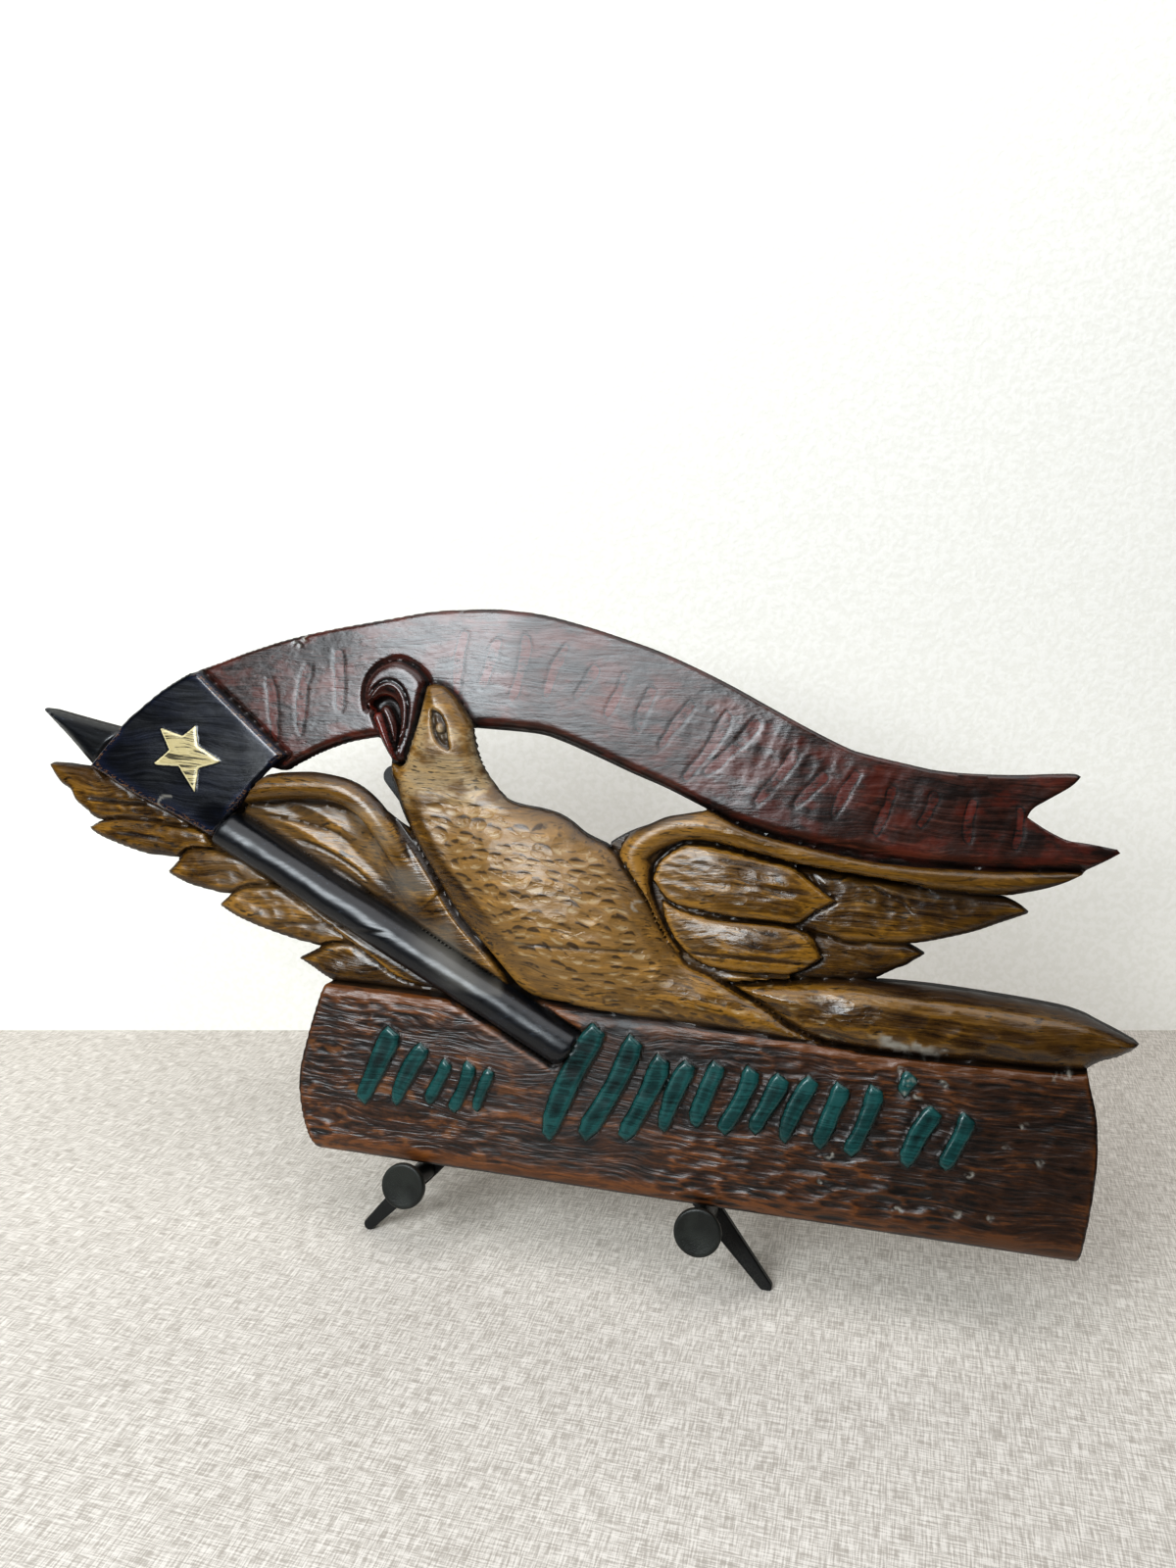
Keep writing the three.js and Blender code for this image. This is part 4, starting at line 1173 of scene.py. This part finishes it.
carvedFinish = {  # dark, middle and light tones of each stain or paint
    "eagle": ("221204", "54390e", "8a6420"), "log": ("0e0602", "371d0b", "6c401b"),
    "banner": ("170a06", "341910", "5e3222"), "canton": ("02040a", "070c1a", "121c33"),
    "pole": ("010203", "04060a", "0b1019"), "beak": ("080404", "1a0d0b", "3e1e17"),
    "red": ("100504", "3a120b", "5e2218"), "star": ("2c2618", "b3a67c", "d6cca4"),
    "teal": ("031211", "0a2f2e", "194c4a"), "back": ("2c1c0f", "5a3d22", "80603a"),
}
carvedTones = {  # wear and dirt, and colours for painted shade, sheen and highlight
    "sootAndShade": "0a0603", "shadeAndLineBrown": "1a0e04", "shadowed": "2c1906", "beadShade": "3a2408", "gold": "b48c50",
    "sheenGrey": "b8a888", "redPaint": "5c1f12", "bare": "7a5631", "rubbedLog": "7a4c20", "bluish": "37414c",
    "pale": "9a968c", "side": "21170c",
}


def carvedMaterial():
    sheet = Sheet("carved wood, stained and painted")
    turn = -(math.pi / 2 - plaqueFrame["lean"])
    at = sheet.place(turn, offset=(0, -float(plaqueOrigin @ upAxis), -float(plaqueOrigin @ outAxis)))
    acrossFace, upFace, outOfBack = sheet.parts(at)
    depth = {name: sheet.attribute(name + "Depth") for name in paints}
    hollowFine, hollowWide, cut, shadeAndDarkLinesHere, paleHere, edge, breast = (
        sheet.attribute(name)
        for name in ("hollowFine", "hollowWide", "cutDepth", "shadeAndDarkLines", "pale", "edgeDepth", "pitted")
    )

    # patterns of the wood, in millimetres across and up the face; `bent` lets the grain wander
    warp = sheet.noise(sheet.stretched(at, (0.02, 0.05, 0.05)), detail=1)
    wander = sheet.node("ShaderNodeCombineXYZ", sockets={0: 0.0, 1: (warp - 0.5) * 16, 2: 0.0})
    bent = sheet.added(at, wander)
    fibre = sheet.noise(sheet.stretched(bent, (0.035, 0.75, 0.4)), detail=3, rough=0.6)
    figure = sheet.noise(sheet.stretched(bent, (0.012, 0.12, 0.1)), detail=2)
    mottle = sheet.noise(sheet.stretched(at, (0.055, 0.09, 0.09)), detail=3, rough=0.6)
    fleck = sheet.noise(sheet.stretched(at, (0.3, 0.8, 0.8)), detail=2, rough=0.7)
    crack = sheet.noise(sheet.stretched(bent, (0.03, 0.9, 0.5)), detail=1).between(0.64, 0.69)
    lumps = sheet.noise(sheet.stretched(at, (0.14, 0.26, 0.26)), detail=2)
    stabs = sheet.noise(sheet.stretched(bent, (0.15, 0.85, 0.5)), detail=1).between(0.59, 0.66)
    chop = abs(sheet.noise(sheet.stretched(bent, (0.045, 0.29, 0.2)), detail=2, rough=0.45) - 0.5)
    ridges = chop.between(0.0, 0.16, 1, 0, False)  # 1 along thin crests

    # small gouge marks on the breast, the right-hand feathers and the low body
    ragged = (fleck - 0.5) * 0.9
    onLog = (depth["log"] + ragged).between(-0.35, 0.35)
    rightForms = acrossFace.between(70, 90) * acrossFace.between(225, 180) * 0.45
    lowForms = upFace.between(130, 118) * acrossFace.between(10, 50) * acrossFace.between(225, 180) * 0.7
    gougedArea = breast.larger(rightForms.larger(lowForms) * depth["eagle"].between(1, 4))
    gougedArea = gougedArea * (0.45 + lumps.between(0.42, 0.55) * 0.55)

    def gougedAt(lower):  # 1 - 3.6 x^2 at the distance x from a mark's middle, seen a little lower down
        away = sheet.cells(sheet.stretched(sheet.added(bent, (0.0, -lower, 0.0)),
                                           (0.092, 0.175, 1.0), 0.12), 0.85)
        return (1 - away * away * 3.6).larger(0) * gougedArea

    pits = gougedAt(0)
    upperRim = gougedAt(1.5) - pits            # positive on a mark's upper rim, negative on its lower; it places painted shade and painted highlight
    rim = hollowFine * 2.0 + hollowWide * 0.3  # positive in hollows, negative on ridges
    rim = rim + pits * 0.3 - ridges * onLog * 0.3
    # lighter on ridges: wear with a painted highlight; darker in hollows: stain gathered there with
    # painted shade
    worn = (0 - rim).between(0.1, 0.9)
    sunk = rim.between(0.15, 1.6)
    tone = fibre * 0.3 + figure * 0.25 + mottle * 0.27 + fleck * 0.13 + worn * 0.07

    def stained(name, dark, light, wear, hollows):  # three tones, light on ridges and dark in hollows
        deep, middle, bright = carvedFinish[name]
        half = (dark + light) / 2
        here = sheet.mix(tone.between(dark, half), deep, middle)
        here = here.covered(tone.between(half, light) + worn * wear, bright)
        return here.covered(sunk * hollows, deep)

    # the eagle: more golden near the head and over the breast, neck and left wing panel, partly the
    # wood's gold and partly painted sheen; darker towards the tail as painted shade; painted shade along
    # the left wing's leading edge; painted sheen on the neck, and on the marks painted shade at the upper
    # rims and painted highlight at the lower rims
    onNeck = upFace.between(194, 206) * upFace.between(262, 245) * acrossFace.between(-72, -64)
    onNeck = onNeck * acrossFace.between(0, -22)
    onPanel = upFace.between(112, 128) * upFace.between(200, 190) * acrossFace.between(-70, -85)
    onPanel = onPanel * acrossFace.between(-200, -180) * 0.7
    nearHead = acrossFace.between(-25, 5) * acrossFace.between(125, 75) * (1 - sunk * 0.8)
    nearHead = nearHead.larger(onNeck).larger(breast * (1 - sunk * 0.8)).larger(onPanel)
    onBead = upFace.between(191, 199) * acrossFace.between(-72, -90)
    feathered = depth["eagle"].between(0.0, 0.5) * (1 - breast)
    darkest = carvedFinish["eagle"][0]
    eagle = stained("eagle", 0.39, 0.6, 0.4, 0.5)
    for share, over in (
        # painted shade: darker towards the right
        (acrossFace.between(90, 290) * (0.62 - upFace.between(122, 132) * 0.3), "shadowed"),
        # lighter gold over the breast, neck and panel: the wood's gold with a painted sheen
        (nearHead * (0.2 + breast * 0.2), "gold"),
        (depth["eagle"].between(5.5, 0.5) * 0.5, darkest),
        # painted shade along the left wing's leading edge
        (onBead * 0.45, "beadShade"),
        # painted sheen on the neck
        (onNeck * mottle.between(0.4, 0.55) * 0.4, "sheenGrey"),
        # painted shade on the marks' upper rims, painted highlight on their lower rims
        (upperRim.between(0.1, 0.55) * 0.8, darkest),
        ((0 - upperRim).between(0.12, 0.6) * 0.4, "sheenGrey"),
        (stabs * feathered * (0.25 + mottle.between(0.45, 0.6) * 0.55), "sootAndShade"),
    ):
        eagle = eagle.covered(share, over)

    # the other stains and paints
    inStroke = cut.between(0.1, 1.0) * (mottle * 0.6 + fleck * 0.4).between(0.4, 0.54)
    onCut = abs(cut).between(0.75, 0.15) * (0.4 + lumps.between(0.4, 0.6) * 0.5)
    woodLog = stained("log", 0.42, 0.6, 0.6, 0.65)
    paled = mottle.between(0.56, 0.66) * acrossFace.between(60, -60)
    woodLog = woodLog.covered(paled * 0.55, "rubbedLog")
    # painted shade: the log darker towards the right
    woodLog = woodLog.covered(acrossFace.between(90, 290) * 0.45, carvedFinish["log"][0])
    cloth = stained("banner", 0.4, 0.62, 0.4, 0.5).covered(mottle.between(0.48, 0.62) * 0.4, "redPaint")
    cloth = cloth.covered(inStroke * 0.7, "redPaint").covered(onCut, "sootAndShade")
    blue = stained("canton", 0.42, 0.66, 0.4, 0.5)
    blue = blue.covered((0 - rim).between(0.9, 1.8) * fleck.between(0.5, 0.6) * 0.6, "bare")
    black = stained("pole", 0.42, 0.68, 0.3, 0.4)
    black = black.covered(fleck.between(0.6, 0.7) * mottle.between(0.48, 0.6) * 0.6, "bluish")
    horn = stained("beak", 0.42, 0.6, 0.6, 0.8)
    red = stained("red", 0.42, 0.58, 0.5, 0.9)
    green = stained("teal", 0.42, 0.6, 0.35, 0.6)
    green = green.covered(depth["teal"].between(0.7, 0.0) * 0.7, carvedFinish["teal"][0])
    deep, middle, bright = carvedFinish["star"]
    cream = sheet.mix(fibre.between(0.5, 0.44) * 0.9, middle, deep)
    cream = cream.covered(depth["star"].between(1.6, 0.7) * 0.8, bright)

    shown = eagle
    for name, layer in (
        ("log", woodLog), ("banner", cloth), ("beak", horn), ("red", red), ("pole", black),
        ("canton", blue), ("star", cream), ("teal", green),
    ):
        shown = shown.covered((depth[name] + ragged).between(-0.35, 0.35), layer)

    # cracks, a darkened outline, painted shade in grooves and deep hollows with the dark joint and eye
    # lines, pale wear and dust with a painted sheen, the stained side walls and the plain back lie over
    # all of them
    painted = depth["canton"].larger(depth["pole"]).larger(depth["teal"]).between(-0.5, 0.5)
    plain = 1 - depth["star"].larger(depth["teal"]).between(-1, 1)
    onSide, onBack = edge.between(0.3, 0.05), outOfBack.between(0.9, 0.1)
    deep, middle, bright = carvedFinish["back"]
    rough = sheet.mix(tone.between(0.42, 0.6), deep, bright)
    rough = rough.covered(mottle.between(0.4, 0.6) * 0.5, middle)
    for share, over in (
        (crack * (1 - painted) * 0.5, "sootAndShade"),
        (edge.between(1.3, 0.1) * 0.25, "sootAndShade"),
        # painted shade in grooves, creases and deep hollows, with the dark joint and eye lines
        (shadeAndDarkLinesHere.larger(rim.between(2.4, 6.5) * plain * 0.7),
         sheet.mix(depth["eagle"].between(-0.5, 1.5), "sootAndShade", "shadeAndLineBrown")),
        (paleHere, "pale"),
        (onSide, sheet.mix(tone.between(0.42, 0.6), "sootAndShade", "side")),
        (onBack, rough),
    ):
        shown = shown.covered(share, over)

    # varnish, rubbed on the side walls and dull on the back, and the finest relief in millimetres
    smooth, onPole = depth["canton"].between(-0.5, 0.5), depth["pole"].between(-0.5, 0.5)
    glossy = sheet.mixNumber(painted, 0.26 + nearHead * 0.1 + onLog * 0.09, 0.29)
    glossy = sheet.mixNumber(smooth, glossy, 0.22) + onPole * 0.03
    gloss = glossy + (fibre - 0.5) * 0.25 + sunk * 0.12 + onSide * 0.45
    gloss = sheet.mixNumber(onBack, gloss, 0.72 + (fibre - 0.5) * 0.3)
    relief = (fibre * 0.1 + lumps * 0.2) * (1 - painted * 0.7)
    relief = relief - pits * 0.34 + ridges * (onLog * 0.14 + feathered * 0.05)
    relief = relief * (1 - onBack) + fibre * onBack * 0.12
    return sheet.surface(
        Base_Color=shown, Roughness=gloss.between(0.0, 1.0, 0.0, 1.0, False),
        Normal=sheet.bump(relief, 0.001), Specular_IOR_Level=0.56,
    )


plaque = buildPlaque()
plaque.data.materials.append(carvedMaterial())
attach(plaque, "root")
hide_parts("carved_plaque")
print("carving shown")


# The stand: the legs and the pin are the CAD's own, and the pegs get finer round forms
standFinish = {"black": ("040504", "0b0c0b"), "disc": ("1a1c19", "252824"), "paled": "8d8c84"}


def standMaterial(name, tones, rough):
    sheet = Sheet(name)
    at = sheet.place()
    clouds = sheet.noise(sheet.stretched(at, (0.08, 0.08, 0.08)), detail=4)
    grains = sheet.noise(sheet.stretched(at, (1.6, 1.6, 1.6)), detail=2)
    shown = sheet.mix(clouds.between(0.42, 0.62), tones[0], tones[1])
    worn = sheet.node("ShaderNodeNewGeometry", out="Pointiness").between(0.56, 0.66)
    shown = sheet.mix(worn * grains.between(0.4, 0.6), shown, standFinish["paled"])
    return sheet.surface(
        Base_Color=shown, Roughness=clouds * 0.2 + rough, Normal=sheet.bump(grains, 0.0003, 0.5),
        Specular_IOR_Level=0.4,
    )


blackPaint = standMaterial("satin black", standFinish["black"], 0.36)
for name in ("front_leg_left", "front_leg_right", "back_leg", "pivot_pin"):
    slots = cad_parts[name].data.materials
    slots.clear()
    slots.append(blackPaint)
discPaint = standMaterial("charcoal, rubbed at the rim", standFinish["disc"], 0.26)

peg = {"rod": 5.5, "disc": 12.3, "thick": 4.0, "edge": 1.0, "sides": 72}


def turnedPeg(name):
    # a profile of radius against height, carried once round the peg's axis, its ends closed by a fan
    points = nodePoints(name)
    outward = points @ outAxis
    low, high = outward.min(), outward.max()
    bounds = (points @ acrossAxis, points @ upAxis)
    centreS, centreT = ((v.min() + v.max()) / 2 for v in bounds)
    arc = np.linspace(0, math.pi / 2, 5)
    edge, disc, thick = peg["edge"], peg["disc"], peg["thick"]
    front = np.stack([disc - edge + edge * np.cos(arc), high - edge + edge * np.sin(arc)], 1)
    rear = np.stack([disc - edge + edge * np.sin(arc), high - thick + edge - edge * np.cos(arc)], 1)
    face = np.array([[disc - 2.2, high], [disc - 2.8, high - 0.12]])
    profile = np.vstack([[peg["rod"], low], [peg["rod"], high - thick], rear, front, face])
    angles = np.arange(peg["sides"]) * 2 * math.pi / peg["sides"]
    radius, out = profile[:, :1], np.repeat(profile[:, 1:], peg["sides"], axis=1)
    ring = np.stack([centreS + radius * np.cos(angles), centreT + radius * np.sin(angles), out], -1)
    ring = ring.reshape(-1, 3)
    ends = np.array([[centreS, centreT, low], [centreS, centreT, high - 0.12]])
    places = np.vstack([ring, ends])
    rows, sides = len(profile), peg["sides"]
    k = np.arange(sides)
    after = (k + 1) % sides
    quads = [np.stack([r * sides + k, r * sides + after, (r + 1) * sides + after, (r + 1) * sides + k], 1)
             for r in range(rows - 1)]
    lastRow = (rows - 1) * sides
    caps = [np.stack([after, k, np.full(sides, rows * sides)], 1),
            np.stack([lastRow + k, lastRow + after, np.full(sides, rows * sides + 1)], 1)]
    thing = newMesh(name + "_turned", places @ np.stack([acrossAxis, upAxis, outAxis]) * mm, quads + caps)
    thing.data.set_sharp_from_angle(angle=math.radians(40))
    thing.data.materials.append(discPaint)
    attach(thing, "root")
    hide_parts(name)


for name in ("peg_left", "peg_right"):
    turnedPeg(name)
print("stand shown")


# Floor, backdrop, lights and the camera at the photograph's viewing angle
view = {
    "turn": math.radians(15.2), "tilt": math.radians(13.0),
    "lens": 36 * 1202 / 1600, "wallDistance": 0.872, "gamma": 0.83,
}


stage = {  # in metres from the foot of the wall
    "side": 1.1, "near": 0.62, "past": 0.9, "tall": 0.95,
    "cloth": ("a19a91", "dad5ce"), "plaster": ("cfcec8", "d3d2cd"), "glow": 0.45,
}


def addPlane(name, corners, material):
    thing = newMesh(name, corners, [np.array([[0, 1, 2, 3]])], smooth=False)
    thing.data.materials.append(material)


def clothMaterial(dark, pale):  # woven threads that run across and away
    sheet = Sheet("pale cloth")
    at = sheet.place()
    threads = sheet.noise(sheet.stretched(at, (0.09, 1.3, 1.3)), detail=2, rough=0.6)
    threads = threads + sheet.noise(sheet.stretched(at, (1.3, 0.09, 1.3)), detail=2, rough=0.6)
    shown = sheet.mix(threads.between(0.78, 1.22) * 0.8 + sheet.noise(at, 0.012, 1) * 0.2, dark, pale)
    return sheet.surface(Base_Color=shown, Roughness=0.9)


# the wall also glows: painted light that keeps it bright and lights the floor near it
def wallMaterial(dark, pale, glow):  # a plastered wall
    sheet = Sheet("white wall")
    grains = sheet.noise(sheet.place(), 0.22, 1, 0.6)
    shown = sheet.mix(grains.between(0.4, 0.6), dark, pale)
    return sheet.surface(
        Base_Color=shown, Roughness=0.8, Normal=sheet.bump(grains, 0.0008, 0.5), Emission_Color=shown,
        Emission_Strength=glow, oneSided=True,
    )


def setStage():
    forward = np.array([-math.sin(view["turn"]), math.cos(view["turn"]), 0])
    right = np.array([math.cos(view["turn"]), math.sin(view["turn"]), 0])
    place = toRow(eye["s"], eye["t"], eye["h"])[0]
    foot = np.array([place[0], place[1], 0]) + forward * view["wallDistance"]
    across, nearer, further = stage["side"] * right, stage["near"] * forward, stage["past"] * forward
    up = np.array([0, 0, stage["tall"]])
    left, right = foot - across, foot + across
    floor = [left - nearer, right - nearer, right + further, left + further]
    wallCorners = [left, right, right + up, left + up]
    addPlane("floor", np.array(floor), clothMaterial(*stage["cloth"]))
    addPlane("backdrop", np.array(wallCorners), wallMaterial(*stage["plaster"], stage["glow"]))


lights = {  # azimuth (negative to the left), elevation, distance, width, height, watts, colour
    "window": (-19.5, 28, 1.9, 0.8, 0.92, 40, (0.9, 0.96, 1.0)),
    "ceiling": (14, 74, 1.5, 2.0, 1.4, 25, (0.98, 0.98, 1.0)),
}


def addLights():
    aim = Vector((0, 0, 0.19))
    for name, (azimuth, elevation, distance, width, tall, watts, tint) in lights.items():
        a, e = math.radians(azimuth), math.radians(elevation)
        away = Vector((math.sin(a) * math.cos(e), -math.cos(a) * math.cos(e), math.sin(e)))
        lamp = bpy.data.lights.new(name, "AREA")
        lamp.shape, lamp.size, lamp.size_y = "RECTANGLE", width, tall
        lamp.energy, lamp.color = watts, tint
        thing = bpy.data.objects.new(name, lamp)
        thing.location = aim + away * distance
        thing.rotation_euler = away.to_track_quat("Z", "Y").to_euler()
        bpy.context.scene.collection.objects.link(thing)
    world = bpy.data.worlds.new("soft daylight")
    world.use_nodes = True
    background = world.node_tree.nodes["Background"]
    background.inputs["Color"].default_value = (0.95, 0.97, 1.0, 1)
    background.inputs["Strength"].default_value = 0.06
    bpy.context.scene.world = world


def addCamera():
    tilt, turn = view["tilt"], view["turn"]
    right = Vector((math.cos(turn), math.sin(turn), 0))
    forward = Vector((-math.sin(turn) * math.cos(tilt), math.cos(turn) * math.cos(tilt), -math.sin(tilt)))
    upward = right.cross(forward)
    lens = bpy.data.cameras.new("camera")
    lens.sensor_width, lens.lens, lens.clip_start = 36, view["lens"], 0.01
    thing = bpy.data.objects.new("camera", lens)
    turned = Matrix((right, upward, -forward)).transposed().to_4x4()
    thing.matrix_world = Matrix.Translation(toRow(eye["s"], eye["t"], eye["h"])[0]) @ turned
    bpy.context.scene.collection.objects.link(thing)
    bpy.context.scene.camera = thing
    bpy.context.scene.view_settings.view_transform = "Standard"
    bpy.context.scene.view_settings.gamma = view["gamma"]


setStage()
addLights()
addCamera()
print("stage, lights and camera set")
